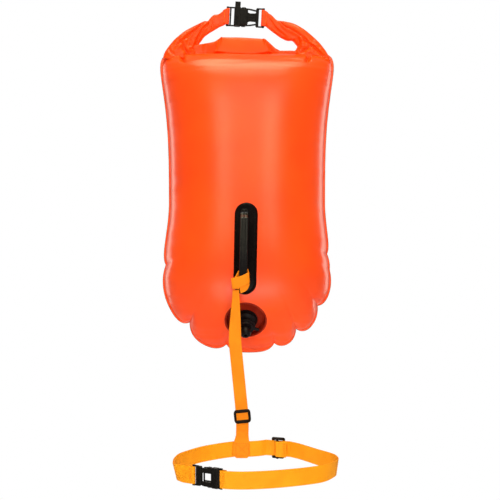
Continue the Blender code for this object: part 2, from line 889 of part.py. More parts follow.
def buckle_end_place(frame, sign):
    """Where the web loop at one end of the whistle buckle ends."""
    reach = WHISTLE_BUCKLE_LENGTH / 2 - BAR_WIDTH / 2 + TAB_TAIL + GAP
    turn = frame.rotation_quaternion.to_matrix()
    return frame.location + turn @ Vector((sign * reach, 0.0, 0.0)), turn @ Vector((0.0, 0.0, 1.0))


def make_arm(name, sign, frame):
    """A side arm of the roll, from the buckle's web loop out and down to the bag's shoulder."""
    end, up = buckle_end_place(frame, sign)
    root = Vector((sign * ARM_ROOT_X, 0.0, BAG_TOP_Z + GAP))
    stations = []
    for degrees, (out, down, height, depth) in zip(ARM_STATION_DEGREES, ARM_STATION_SHARES):
        lean = math.radians(degrees)
        centre = Vector((end.x + (root.x - end.x) * out, 0.0, end.z + (root.z - end.z) * down))
        across = Vector((sign * math.sin(lean), 0.0, math.cos(lean))) if degrees else up
        stations.append((centre, across, ARM_HALF_HEIGHT * height, ARM_THICKNESS / 2 * depth))
    return soft_band(name, stations)


def make_middle_roll():
    """The middle of the roll on the bag's top edge, with its stiffening strip inside."""
    bottom = BAG_TOP_Z + GAP
    top = bottom + ROLL_HEIGHT
    half = ROLL_THICKNESS / 2
    outline = [
        (-ROLL_BASE_HALF_WIDTH, bottom),
        (ROLL_BASE_HALF_WIDTH, bottom),
        (ROLL_TOP_HALF_WIDTH, top),
        (-ROLL_TOP_HALF_WIDTH, top),
    ]
    roll = new_part(
        "roll_top_middle", plate_mesh("roll_top_middle", outline, -half, half), FABRIC
    )
    bevel = roll.modifiers.new("round edges", "BEVEL")
    bevel.width = ROLL_THICKNESS / 4
    bevel.segments = 3
    middle = (bottom + top) / 2
    half_slot = STIFFENER_THICKNESS / 2 + GAP
    cut_box(
        roll,
        "stiffener_slot",
        (-ROLL_BASE_HALF_WIDTH - OVERRUN, -half_slot, middle - STIFFENER_HEIGHT / 2 - GAP),
        (ROLL_BASE_HALF_WIDTH + OVERRUN, half_slot, middle + STIFFENER_HEIGHT / 2 + GAP),
    )
    new_part(
        "closure_stiffener",
        box_mesh(
            "closure_stiffener",
            (-STIFFENER_HALF_LENGTH, -STIFFENER_THICKNESS / 2, middle - STIFFENER_HEIGHT / 2),
            (STIFFENER_HALF_LENGTH, STIFFENER_THICKNESS / 2, middle + STIFFENER_HEIGHT / 2),
        ),
        PLASTIC,
    )


# Tow patch, its strap, and the leash's hitch


def stadium_half_width(z):
    """Half the patch's width at a height, with its round ends."""
    half = PATCH_WIDTH / 2
    middle = PATCH_TOP_Z - PATCH_HEIGHT / 2
    past = max(0.0, abs(z - middle) - (PATCH_HEIGHT / 2 - half))
    return math.sqrt(max(0.0, half**2 - past**2))


def patch_front_y(z):
    return surface_y(STRAP_X, z, FRONT) - PATCH_LIFT - PATCH_THICKNESS


def make_patch():
    shape = bmesh.new()
    bmesh.ops.create_grid(shape, x_segments=PATCH_COLUMNS, y_segments=PATCH_ROWS, size=1.0)
    middle = PATCH_TOP_Z - PATCH_HEIGHT / 2
    for point in shape.verts:
        z = middle + math.sin(math.pi * point.co.y / 2) * PATCH_HEIGHT / 2
        x = PATCH_X + point.co.x * stadium_half_width(z)
        stand = PATCH_LIFT + PATCH_THICKNESS / 2
        point.co = (x, surface_y(x, z, FRONT) - stand, z)
    bmesh.ops.remove_doubles(shape, verts=shape.verts, dist=MERGE_DISTANCE)
    patch = new_part("leash_patch", mesh_of(shape, "leash_patch"), RUBBER)
    add_solidify(patch, PATCH_THICKNESS)
    shade_round(patch)


def strap_route():
    """The strap's middle line: laid on the patch at each end, and standing off it between."""
    half = STRAP_THICKNESS / 2
    top = PATCH_TOP_Z - STRAP_END_INSET
    bottom = PATCH_TOP_Z - PATCH_HEIGHT + STRAP_END_INSET
    run_y = patch_front_y(top) - STRAP_STANDOFF - half
    seat = PATCH_LIFT + half

    def seated(z):
        return Vector((STRAP_X, patch_front_y(z) - seat, z))

    upper_turn = top - STRAP_END_LENGTH
    lower_turn = bottom + STRAP_END_LENGTH
    return [
        seated(top),
        seated(upper_turn),
        Vector((STRAP_X, run_y, upper_turn - STRAP_RAMP)),
        Vector((STRAP_X, run_y, lower_turn + STRAP_RAMP * 2)),
        seated(lower_turn),
        seated(bottom),
    ]


def make_strap():
    return strip_part(
        "patch_strap", strap_route(), (1.0, 0.0, 0.0), STRAP_WIDTH, STRAP_THICKNESS, RUBBER
    )


def make_hitch():
    """The girth hitch, drawn up round the strap, with the passage that the strap fills."""
    left = LEASH_TOP_X - LEASH_WIDTH / 2 + WEB_THICKNESS
    run_y = strap_route()[2].y
    outline = [
        (left + across * HITCH_WIDTH, HITCH_FOOT_Z + up * HITCH_HEIGHT)
        for across, up in HITCH_OUTLINE_SHARES
    ]
    half = HITCH_THICKNESS / 2
    hitch = new_part(
        "leash_hitch", plate_mesh("leash_hitch", outline, run_y - half, run_y + half), WEBBING
    )
    bevel = hitch.modifiers.new("round edges", "BEVEL")
    bevel.width = WEB_THICKNESS
    bevel.segments = 2
    passage = new_cutter(
        "strap_passage",
        strip_mesh(
            "strap_passage", strap_route(), (1.0, 0.0, 0.0), STRAP_WIDTH + 2 * RUNNING_GAP
        ),
    )
    add_solidify(passage, STRAP_THICKNESS + 2 * RUNNING_GAP)
    add_boolean(hitch, passage, "DIFFERENCE")


# Valves


def make_valve(side, facing, panel):
    """A valve in its well: base, non-return flap, lock ring and mouthpiece."""
    surface = Vector((VALVE_X, surface_y(VALVE_X, VALVE_Z, facing), VALVE_Z))
    normal = surface_normal(VALVE_X, VALVE_Z, facing)
    outward = normal.to_track_quat("Z", "Y")
    frame = new_frame(f"{side}_valve_frame", surface, outward)
    cutter = new_cutter(
        f"{side}_well_hole", cylinder_mesh("well_hole", WELL_RADIUS + GAP, 2 * WELL_DEPTH), frame
    )
    add_boolean(panel, cutter, "DIFFERENCE")
    floor = -WELL_DEPTH + WELL_WALL
    well = turned_part(
        f"{side}_valve_well",
        [
            (0.0, floor),
            (WELL_RADIUS - WELL_WALL, floor),
            (WELL_RADIUS - WELL_WALL, 0.0),
            (WELL_RADIUS, 0.0),
            (WELL_RADIUS, -WELL_DEPTH),
            (0.0, -WELL_DEPTH),
        ],
        WELL,
        frame,
    )
    upright = (1.0, 0.0, 0.0, 0.0)
    seat = new_frame(f"{side}_valve_seat", (0.0, -VALVE_SEAT_DROP, 0.0), upright, frame)
    flange_low = floor + GAP
    flange_top = flange_low + FLANGE_THICKNESS
    base = turned_part(
        f"{side}_valve_base",
        [
            (0.0, flange_top + BOSS_HEIGHT),
            (NECK_RADIUS, flange_top + BOSS_HEIGHT),
            (BOSS_RADIUS, flange_top + BOSS_HEIGHT * BOSS_SHOULDER_SHARE),
            (BOSS_RADIUS, flange_top),
            (FLANGE_RADIUS, flange_top),
            (FLANGE_RADIUS, flange_low),
            (0.0, flange_low),
        ],
        RUBBER,
        seat,
    )
    down = frame.rotation_quaternion.inverted() @ Vector((0.0, 0.0, -1.0))
    turn_axis = Vector((0.0, 0.0, 1.0)).cross(down).normalized()
    droop = Matrix.Rotation(math.radians(VALVE_DROOP_DEGREES), 3, turn_axis).to_quaternion()
    neck_frame = new_frame(
        f"{side}_neck_frame", (0.0, 0.0, flange_top + BOSS_HEIGHT * NECK_SINK_SHARE), droop, seat
    )
    neck_end = NECK_LENGTH
    spigot_end = NECK_LENGTH + SPIGOT_LENGTH
    neck = turned_cutter(
        f"{side}_neck",
        [
            (0.0, spigot_end),
            (SPIGOT_RADIUS, spigot_end),
            (SPIGOT_RADIUS, neck_end),
            (NECK_RADIUS, neck_end),
            (NECK_RADIUS, 0.0),
            *((NECK_RADIUS * out, NECK_RADIUS * up) for out, up in NECK_ROOT_SHARES),
        ],
        neck_frame,
    )
    add_boolean(base, neck, "UNION")
    bore_length = 2 * (BOSS_HEIGHT + spigot_end)
    bore = new_cutter(
        f"{side}_air_bore", cylinder_mesh("air_bore", AIR_BORE_RADIUS, bore_length), neck_frame
    )
    add_boolean(base, bore, "DIFFERENCE")
    add_boolean(well, bore, "DIFFERENCE")
    ring_low = neck_end + GAP
    ring = turned_part(
        f"{side}_valve_lock_ring",
        [
            (SPIGOT_RADIUS + GAP, ring_low + LOCK_RING_LENGTH),
            *(
                (LOCK_RING_RADIUS * out, ring_low + LOCK_RING_LENGTH * up)
                for out, up in LOCK_RING_PROFILE_SHARES
            ),
            (SPIGOT_RADIUS + GAP, ring_low),
        ],
        RUBBER,
        neck_frame,
        closed=True,
    )
    lug_low = ring_low + LOCK_LUG_THICKNESS / 4
    lug_root = (LOCK_RING_RADIUS + SPIGOT_RADIUS) / 2
    lug_turn = Matrix.Rotation(math.radians(LOCK_LUG_DEGREES), 3, "Z").to_quaternion()
    lug_frame = new_frame(f"{side}_lug_frame", (0.0, 0.0, lug_low), lug_turn, neck_frame)
    lug_mesh = box_mesh(
        "lock_lug",
        (lug_root, -LOCK_LUG_WIDTH / 2, 0.0),
        (LOCK_LUG_REACH, LOCK_LUG_WIDTH / 2, LOCK_LUG_THICKNESS),
        LOCK_LUG_THICKNESS / 4,
    )
    add_boolean(ring, new_cutter(f"{side}_lock_lug", lug_mesh, lug_frame), "UNION")
    shoulder = spigot_end + MOUTHPIECE_TRAVEL + GAP
    skirt_end = ring_low + LOCK_RING_LENGTH + GAP + MOUTHPIECE_TRAVEL
    stem_radius = AIR_BORE_RADIUS - GAP
    tip = shoulder + MOUTHPIECE_LENGTH
    turned_part(
        f"{side}_valve_mouthpiece",
        [
            (MOUTHPIECE_BORE_RADIUS, tip),
            *(
                (MOUTHPIECE_RADIUS * out, tip - MOUTHPIECE_RADIUS * down)
                for out, down in MOUTHPIECE_TIP_SHARES
            ),
            (MOUTHPIECE_RADIUS, skirt_end),
            (SPIGOT_RADIUS + GAP, skirt_end),
            (SPIGOT_RADIUS + GAP, shoulder),
            (stem_radius, shoulder),
            (stem_radius, skirt_end),
            (MOUTHPIECE_BORE_RADIUS, skirt_end),
        ],
        RUBBER,
        neck_frame,
        closed=True,
    )
    flap_radius = AIR_BORE_RADIUS - GAP
    turned_part(
        f"{side}_valve_flap",
        [
            (0.0, FLAP_THICKNESS),
            (flap_radius, FLAP_THICKNESS),
            (flap_radius, 0.0),
            (0.0, 0.0),
        ],
        RUBBER,
        neck_frame,
    )
    return frame, neck_frame


# Leash, sliders and belt


def leash_x(z):
    """The leash's middle at a height: upright under the hitch, then aslant, then upright."""
    if z >= LEASH_BEND_Z:
        return LEASH_TOP_X
    share = (LEASH_BEND_Z - z) / (LEASH_BEND_Z - LEASH_SLIDER_Z)
    return LEASH_TOP_X + (LEASH_SLIDER_X - LEASH_TOP_X) * min(share, leash_slant_end_share())


def leash_slant_end_share():
    return 1 + LEASH_SLIDER_LENGTH / (LEASH_BEND_Z - LEASH_SLIDER_Z)


def leash_layer_offset():
    return (WEB_THICKNESS + LEASH_LAYER_GAP) / 2


def leash_hinge_z():
    """The height of the axis about which the leash swings: the middle of its doubled top end."""
    return HITCH_FOOT_Z - GAP - WEB_THICKNESS - LEASH_LAYER_GAP / 2


def leash_end_x():
    """The middle of the leash's lower end, where it is sewn to the belt over the meeting of its two webs."""
    return leash_x(BELT_Z)


def make_leash_frame():
    """The empty on the axis about which the leash and the belt swing."""
    return new_frame(
        "leash_frame", (LEASH_TOP_X, LEASH_Y, leash_hinge_z()), Matrix.Identity(3).to_quaternion()
    )


def make_leash(leash_frame):
    """One web, doubled from the slider up to the hitch and back, then down and round the belt's edge."""
    offset = leash_layer_offset()
    slider_low = LEASH_SLIDER_Z - LEASH_SLIDER_LENGTH / 2
    slant_end = LEASH_BEND_Z - (LEASH_BEND_Z - LEASH_SLIDER_Z) * leash_slant_end_share()
    top = leash_hinge_z()

    def place(z, y):
        return Vector((leash_x(z), y, z))

    front_y = LEASH_Y - offset
    back_y = LEASH_Y + offset
    front = [place(slider_low - GAP, front_y), place(LEASH_BEND_Z, front_y)]
    turn = hairpin((LEASH_TOP_X, LEASH_Y, top), (0.0, 0.0, 1.0), (0.0, -1.0, 0.0), offset)
    end_x = leash_end_x()
    before_y = BELT_JOIN_Y - WEB_THICKNESS - GAP
    behind_y = BELT_JOIN_Y + WEB_THICKNESS + GAP
    hem_z = BELT_Z - BELT_WIDTH / 2 - GAP - WEB_THICKNESS / 2
    back = [
        place(LEASH_BEND_Z, back_y),
        place(slant_end, back_y),
        Vector((end_x, before_y, BELT_Z + BELT_WIDTH / 2 + OVERRUN)),
        Vector((end_x, before_y, hem_z)),
        Vector((end_x, behind_y, hem_z)),
        Vector((end_x, behind_y, BELT_Z)),
    ]
    web = strip_part(
        "leash_web", front + turn + back, (1.0, 0.0, 0.0), LEASH_WIDTH, WEB_THICKNESS, WEBBING
    )
    hang_on(web, leash_frame)


def make_slider(name, web_width, length, front_y, back_y, bars_behind, frame):
    """A slider round a straight run of web: side rails, end bars on one face, a middle bar on the other.

    The run goes along x of the frame, and the web's width along z.
    """
    half = web_width / 2 + RUNNING_GAP
    rail_top = half + SLIDER_RAIL
    front = front_y - SLIDER_THICKNESS
    back = back_y + SLIDER_THICKNESS
    end = length / 2
    slider = new_part(
        name,
        box_mesh(name, (-end, front, -rail_top), (end, back, rail_top), SLIDER_THICKNESS / 3),
        PLASTIC,
        frame,
    )
    past = end + OVERRUN
    cut_box(slider, f"{name}_passage", (-past, front_y, -half), (past, back_y, half))
    inside = (front_y + back_y) / 2
    before, behind = (front - OVERRUN, inside), (inside, back + OVERRUN)
    end_side, middle_side = (behind, before) if bars_behind else (before, behind)
    inner = end - SLIDER_BAR
    cut_box(
        slider, f"{name}_window", (-inner, end_side[0], -half), (inner, end_side[1], half)
    )
    for index, (low_x, high_x) in enumerate(((-past, -SLIDER_BAR / 2), (SLIDER_BAR / 2, past))):
        cut_box(
            slider,
            f"{name}_opening_{index}",
            (low_x, middle_side[0], -half),
            (high_x, middle_side[1], half),
        )
    return slider


def make_leash_slider(leash_frame):
    slant = math.atan2(LEASH_SLIDER_X - LEASH_TOP_X, LEASH_BEND_Z - LEASH_SLIDER_Z)
    turn = Matrix.Rotation(math.pi / 2 - slant, 3, "Y").to_quaternion()
    frame = new_frame("leash_slider_frame", (LEASH_SLIDER_X, LEASH_Y, LEASH_SLIDER_Z), turn)
    hang_on(frame, leash_frame)
    stack = leash_layer_offset() + WEB_THICKNESS / 2 + RUNNING_GAP
    make_slider(
        "leash_slider", LEASH_WIDTH, LEASH_SLIDER_LENGTH, -stack, stack, False, frame
    )


def belt_buckle_frame():
    yaw = Matrix.Rotation(math.radians(BELT_BUCKLE_YAW_DEGREES), 3, "Z").to_quaternion()
    return new_frame("belt_buckle_frame", (BELT_BUCKLE_X, BELT_BUCKLE_Y, BELT_Z), yaw)


def belt_slider_frame():
    yaw = Matrix.Rotation(math.radians(BELT_SLIDER_YAW_DEGREES), 3, "Z").to_quaternion()
    return new_frame("belt_slider_frame", (BELT_SLIDER_X, BELT_SLIDER_Y, BELT_Z), yaw)


def in_frame(frame, x, y):
    return frame.location + frame.rotation_quaternion @ Vector((x, y, 0.0))


def hook_round_bar(frame, bar_x):
    """The web's end round a belt buckle's end bar: inner tail, turn, and start of the outer run."""
    sign = math.copysign(1.0, bar_x)
    inner = -HOOK_RADIUS
    tail = in_frame(frame, bar_x + sign * BELT_HOOK_TAIL, inner)
    turn = [
        in_frame(frame, point.x, point.y)
        for point in hairpin((bar_x, 0.0, 0.0), (-sign, 0.0, 0.0), (0.0, -1.0, 0.0), HOOK_RADIUS)
    ]
    run = in_frame(frame, bar_x + sign * BELT_HOOK_TAIL, HOOK_RADIUS)
    return [tail, *turn, run]


def belt_points(points):
    return [Vector((x, y, BELT_Z)) for x, y in points]


def make_belt(leash_frame):
    frame = belt_buckle_frame()
    hang_on(frame, leash_frame)
    socket = make_socket(BELT_BUCKLE, PLASTIC, frame)
    make_plug(BELT_BUCKLE, PLASTIC, frame)
    cut_box(
        socket,
        "belt_window",
        (-BELT_WINDOW_LENGTH / 2, -BELT_BUCKLE_THICKNESS, -BELT_WINDOW_HEIGHT / 2),
        (BELT_WINDOW_LENGTH / 2, BELT_BUCKLE_THICKNESS, BELT_WINDOW_HEIGHT / 2),
    )
    for side in ("upper", "lower"):
        make_prong(BELT_BUCKLE, side, PLASTIC, frame)
    bar_x = BELT_BUCKLE_LENGTH / 2 - BAR_WIDTH / 2
    slider = belt_slider_frame()
    hang_on(slider, leash_frame)
    run_start = in_frame(slider, -BELT_SLIDER_RUN, 0.0)
    run_end = in_frame(slider, BELT_SLIDER_RUN, 0.0)
    plug_hook = hook_round_bar(frame, bar_x)
    socket_hook = hook_round_bar(frame, -bar_x)
    end_x = leash_end_x()
    join_start, join_end, rise = belt_points(
        (
            (end_x - BELT_JOIN_HALF_LENGTH, BELT_JOIN_Y),
            (end_x + BELT_JOIN_HALF_LENGTH, BELT_JOIN_Y),
            BELT_RISE,
        )
    )
    short_end, long_start = belt_points(
        ((end_x - GAP / 2, BELT_JOIN_Y), (end_x + GAP / 2, BELT_JOIN_Y))
    )
    short_run = smooth_route([plug_hook[-1], *belt_points(BELT_SHORT_ROUTE), join_start])
    middle_run = smooth_route([join_end, rise, run_start])
    far_run = smooth_route([run_end, *belt_points(BELT_LONG_ROUTE), socket_hook[-1]])
    up = (0.0, 0.0, 1.0)
    webs = (
        ("belt_web_short", plug_hook[:-1] + short_run + [short_end]),
        ("belt_web_long", [long_start] + middle_run + far_run + list(reversed(socket_hook[:-1]))),
    )
    for name, route in webs:
        web = strip_part(name, route, up, BELT_WIDTH, WEB_THICKNESS, WEBBING)
        hang_on(web, leash_frame)
    make_belt_slider(slider)


def make_belt_slider(frame):
    """The belt's slider, with the sewn fold of web round its middle bar in front of the running web."""
    web_front = -WEB_THICKNESS / 2 - GAP
    fold_radius = SLIDER_THICKNESS / 2 + RUNNING_GAP + WEB_THICKNESS
    fold_middle = web_front - WEB_THICKNESS / 2 - fold_radius
    bar_face = fold_middle + SLIDER_THICKNESS / 2
    make_slider(
        "belt_slider",
        BELT_WIDTH,
        BELT_SLIDER_LENGTH,
        bar_face,
        WEB_THICKNESS / 2 + RUNNING_GAP,
        True,
        frame,
    )
    turn = hairpin((0.0, fold_middle, 0.0), (-1.0, 0.0, 0.0), (0.0, -1.0, 0.0), fold_radius)
    front = Vector((FOLD_TAIL, fold_middle - fold_radius, 0.0))
    back = Vector((FOLD_TAIL, fold_middle + fold_radius, 0.0))
    strip_part(
        "belt_slider_fold",
        [front, *turn, back],
        (0.0, 0.0, 1.0),
        BELT_WIDTH - RUNNING_GAP,
        WEB_THICKNESS,
        WEBBING,
        frame,
    )


def make_buoy():
    panels = make_bag_sheets()
    make_middle_roll()
    buckle_frame = make_whistle_buckle()
    make_arm("left_roll_arm", -1, buckle_frame)
    make_arm("right_roll_arm", 1, buckle_frame)
    make_patch()
    make_strap()
    make_hitch()
    for side, facing in (("front", FRONT), ("rear", REAR)):
        make_valve(side, facing, panels[side])
    leash_frame = make_leash_frame()
    make_leash(leash_frame)
    make_leash_slider(leash_frame)
    make_belt(leash_frame)


make_buoy()
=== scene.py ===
"""Open water swim buoy: the looks of the hanging buoy, built on its fixed frame.

The bag is a roll-top dry bag between two air chambers, closed by a whistle buckle, with a tow patch, a leash
and a waist belt. +Z is up, the front faces -Y, and all sizes are in metres.
"""

import math

import bmesh
import bpy
from mathutils import Matrix, Vector, noise


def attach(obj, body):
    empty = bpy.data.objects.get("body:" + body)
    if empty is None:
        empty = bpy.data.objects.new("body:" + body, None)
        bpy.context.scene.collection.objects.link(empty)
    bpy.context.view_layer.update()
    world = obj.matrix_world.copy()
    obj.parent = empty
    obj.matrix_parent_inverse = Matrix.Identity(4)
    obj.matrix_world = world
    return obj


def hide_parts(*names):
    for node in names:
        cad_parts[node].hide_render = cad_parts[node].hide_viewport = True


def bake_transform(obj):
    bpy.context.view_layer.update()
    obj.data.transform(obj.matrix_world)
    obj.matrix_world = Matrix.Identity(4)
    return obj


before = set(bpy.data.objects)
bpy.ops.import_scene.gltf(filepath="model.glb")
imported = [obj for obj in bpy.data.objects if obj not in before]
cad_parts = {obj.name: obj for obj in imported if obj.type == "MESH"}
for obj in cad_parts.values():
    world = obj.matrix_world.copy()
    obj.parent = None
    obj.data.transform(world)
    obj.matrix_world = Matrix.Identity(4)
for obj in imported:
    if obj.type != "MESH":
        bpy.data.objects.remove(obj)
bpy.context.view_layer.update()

# Camera and surroundings
CAMERA_PLACE = (0.0051, -1.360, -0.3791)
CAMERA_LENS = 57.6
CAMERA_SENSOR = 36.0
CAMERA_REACH = 30.0
FLOOR_Z = -1.05
FLOOR_SIZE = 8.0
BACKDROP_Y = 2.2
REFLECTED_SHARE = 0.40
WORLD_STRENGTH = 0.23
WORLD_COLOUR = (1.0, 0.99, 0.97)
WHITE = (1.0, 1.0, 1.0)
WARM_LIGHT = (1.0, 0.93, 0.62)
KEY_LIGHT = (1.0, 0.98, 0.86)
LIGHT_AIM = (0.0, 0.0, -0.30)

# Soft boxes: name, place, aim, width and height, power and colour
LIGHTS = (
    ("left_strip", (-0.47, -1.45, 0.02), LIGHT_AIM, (0.34, 0.80), 3.4, WARM_LIGHT),
    ("right_strip", (0.46, -1.45, 0.02), LIGHT_AIM, (0.32, 0.80), 3.5, WARM_LIGHT),
    ("key_box", (0.10, -2.30, 0.70), LIGHT_AIM, (2.6, 1.6), 19.0, KEY_LIGHT),
    ("top_box", (0.0, -0.80, 1.05), LIGHT_AIM, (1.1, 0.36), 5.0, WARM_LIGHT),
    ("over_box", (0.0, -0.32, 1.20), LIGHT_AIM, (1.2, 0.5), 16.0, WARM_LIGHT),
    ("left_rim", (-1.15, 0.80, -0.20), LIGHT_AIM, (0.40, 1.4), 5.5, KEY_LIGHT),
    ("right_rim", (1.15, 0.80, -0.20), LIGHT_AIM, (0.40, 1.4), 5.5, KEY_LIGHT),
    ("low_box", (0.0, -1.00, -1.00), (0.0, 0.0, -0.60), (1.0, 0.3), 4.4, KEY_LIGHT),
    ("low_rim", (0.0, 0.85, -1.00), (0.0, 0.0, -0.55), (1.2, 0.4), 1.8, KEY_LIGHT),
    ("back_box", (0.0, 1.60, 0.20), LIGHT_AIM, (1.0, 1.0), 6.0, KEY_LIGHT),
)

# Grain of the materials: scale and detail of each noise, and strength and height of each bump
FABRIC_CLOUD = (9.0, 2.0)
FABRIC_CLOUD_PLACES = (0.30, 0.62)
FABRIC_SHEEN = (420.0, 3.0)
FABRIC_ROUGHNESS = (0.25, 0.35)
FABRIC_SWELL = (24.0, 2.0)
FABRIC_SWELL_BUMP = (0.10, 0.004)
FABRIC_CRUMPLE = (95.0, 4.0)
FABRIC_CRUMPLE_STRETCH = (1.0, 1.0, 0.6)
FABRIC_CRUMPLE_HEIGHT = 0.0015
FABRIC_WEAVE = (1500.0, 1.0)
FABRIC_WEAVE_BUMP = (0.06, 0.0003)
WEB_ROUGHNESS = 0.62
WEB_GLOSS = 0.12
WEB_WAVES = (("Y", 210.0, 0.6), ("X", 330.0, 0.4))
MIX_COLOUR_ENTRIES = (6, 7)
MIX_COLOUR_OUTPUT = 2
WEB_WEAVE_PLACES = (0.0, 0.45)
WEB_WEAVE_BUMP = (0.10, 0.0003)
WEB_CLOUD = (30.0, 3.0)
WEB_CLOUD_PLACES = (0.35, 0.65)
WEB_CLOUD_TINT = (0.92, 0.88, 0.80)
WEB_CLOUD_BUMP = (0.1, 0.001)
PLASTIC_GLOSS = 0.08
PLASTIC_CLOUD = (160.0, 3.0)
PLASTIC_CLOUD_PLACES = (0.35, 0.75)
PLASTIC_LIGHTER_SHARE = 1.5
PLASTIC_LIGHTER_STEP = 0.001
PLASTIC_ROUGHNESS_SPREAD = (-0.06, 0.08)
PLASTIC_GRAIN = (1800.0, 2.0)
PLASTIC_GRAIN_HEIGHT = 0.0002
FILM_CLOUD = (55.0, 3.0)
FILM_CLOUD_PLACES = (0.30, 0.75)
FILM_ROUGHNESS_SPREAD = 0.10
FILM_RIPPLE = (130.0, 2.0)
FILM_RIPPLE_BUMP = (0.12, 0.0008)
SURROUND_COLOUR = (0.90, 0.90, 0.90)
SURROUND_ROUGHNESS = 0.9
SURROUND_GLOSS = 0.5

# Bag
GAP = 0.0003
BAG_TOP_Z = -0.043
BAG_HEIGHT = 0.510
BAG_MIDDLE_Z = BAG_TOP_Z - BAG_HEIGHT / 2
SHOULDER_HALF_WIDTH = 0.158
WAIST_HALF_WIDTH = 0.132
BASE_HALF_WIDTH = 0.158
SHOULDER_SQUARENESS = 12.0
SHOULDER_FLARE_POWER = 3
BASE_SQUARENESS = 2.7
BASE_FLARE_SHARE = 0.68
SEAM_SHARE = 0.025
NECK_SEAM_SHARE = 0.020
BASE_SEAM_SHARE = 0.013
CHAMBER_DEPTH = 0.076
SIDE_CURVE = (2.4, 0.55)
TOP_CURVE = (7.0, 0.5)
BASE_CURVE = (4.17, 1.0)
PUCKER_DEPTH = 0.012
PUCKER_WIDTH_DEGREES = 3.4
PUCKER_DEGREES = (-65.4, -37.6, -13.1, 17.3, 32.0, 47.7, 64.0, 69.6)
PUCKER_DEPTH_SHARES = (0.75, 1.54, 1.09, 1.06, 1.63, 1.23, 0.40, 0.65)
PUCKER_REACH_POWER = 8
CREASE_WIDTH_DEGREES = 2.4
CREASE_START_SHARE = 0.88
CREASE_FULL_SHARE = 0.975
CREASE_DEPTH_SHARE = 0.30
SHOULDER_PINCHES = (
    ((-0.1125, -0.0440), (-0.1045, -0.0700)),
    ((0.1066, -0.0440), (0.0992, -0.0700)),
)
PINCH_WIDTH = 0.0032
PINCH_DEPTH = 0.024
SMILE_MIDDLE_X = 0.0040
SMILE_HALF_WIDTH = 0.0520
SMILE_FOOT_Z = -0.0517
SMILE_RISE = 0.0080
SMILE_WIDTH = 0.0016
SMILE_DEPTH = 0.0085
SMILE_FADE_POWER = 4
WRINKLE_HEIGHT = 0.0022
WRINKLE_START = (0.80, 0.95)
WRINKLE_END = (0.975, 1.0)
WRINKLE_NOISES = ((9.0, 3.0, 70.0, 1.0), (14.0, 9.0, 160.0, 0.5))
SKIN_OFFSET = 0.0012
SKIN_THICKNESS = 0.0010
SKIN_COLUMNS = 200
SKIN_ROWS = 240
EVEN_SPACING_SHARE = 0.35
FRONT = -1
REAR = 1

# Weld flange round the bag
FLANGE_THICKNESS = 0.0016
FLANGE_INNER_SHARE = 0.930
FLANGE_STEPS = 180
FLANGE_BANDS = 6
FLANGE_WAVE = 0.0012
FLANGE_WAVE_SCALE = 45.0
FLANGE_WAVE_START_SHARE = 0.955
CUT_EDGE_RADIUS = 0.0008
CUT_EDGE_SIDES = 6

# Flat liners between the chambers
LINER_SHARE = 0.975
LINER_COLUMNS = 90
LINER_ROWS = 110
LINER_OFFSET = 0.0005
LINER_THICKNESS = 0.0004

# Rolled top: top x, foot x, top z, foot z, and how far the face stands out at its top and at its foot
ROLL_STATIONS = (
    (-0.0960, -0.0980, -0.0345, -0.0560, 0.0070, 0.0060),
    (-0.0850, -0.0880, -0.0312, -0.0560, 0.0078, 0.0056),
    (-0.0770, -0.0800, -0.0296, -0.0550, 0.0050, 0.0040),
    (-0.0660, -0.0700, -0.0285, -0.0540, 0.0090, 0.0044),
    (-0.0540, -0.0600, -0.0256, -0.0530, 0.0084, 0.0036),
    (-0.0478, -0.0560, -0.0216, -0.0520, 0.0080, 0.0036),
    (-0.0472, -0.0552, -0.0212, -0.0462, 0.0080, 0.0096),
    (-0.0434, -0.0500, -0.0187, -0.0450, 0.0104, 0.0116),
    (-0.0412, -0.0470, -0.0186, -0.0456, 0.0070, 0.0122),
    (-0.0200, -0.0240, -0.0186, -0.0496, 0.0068, 0.0138),
    (0.0080, 0.0080, -0.0200, -0.0514, 0.0068, 0.0142), (0.0260, 0.0320, -0.0212, -0.0472, 0.0070, 0.0130),
    (0.0286, 0.0370, -0.0214, -0.0456, 0.0104, 0.0116), (0.0312, 0.0420, -0.0220, -0.0468, 0.0084, 0.0100),
    (0.0318, 0.0430, -0.0226, -0.0520, 0.0084, 0.0036), (0.0400, 0.0480, -0.0300, -0.0530, 0.0090, 0.0036),
    (0.0480, 0.0540, -0.0370, -0.0540, 0.0070, 0.0044), (0.0560, 0.0600, -0.0412, -0.0550, 0.0056, 0.0050),
    (0.0700, 0.0700, -0.0418, -0.0560, 0.0064, 0.0054), (0.0880, 0.0880, -0.0420, -0.0560, 0.0070, 0.0060),
)
ROLL_STEPS = 6
ROLL_SIDES = 40
ROLL_EDGE_POWER = 0.30
ROLL_SAG = 0.0008
ROLL_SAG_SCALES = (30.0, 60.0, 60.0)
ROLL_CRUMPLE = 0.0022
ROLL_CRUMPLE_SCALES = (110.0, 80.0)
ROLL_CRUMPLE_SEED = 5.0
ROLL_CRUMPLE_X = (0.046, 0.056)

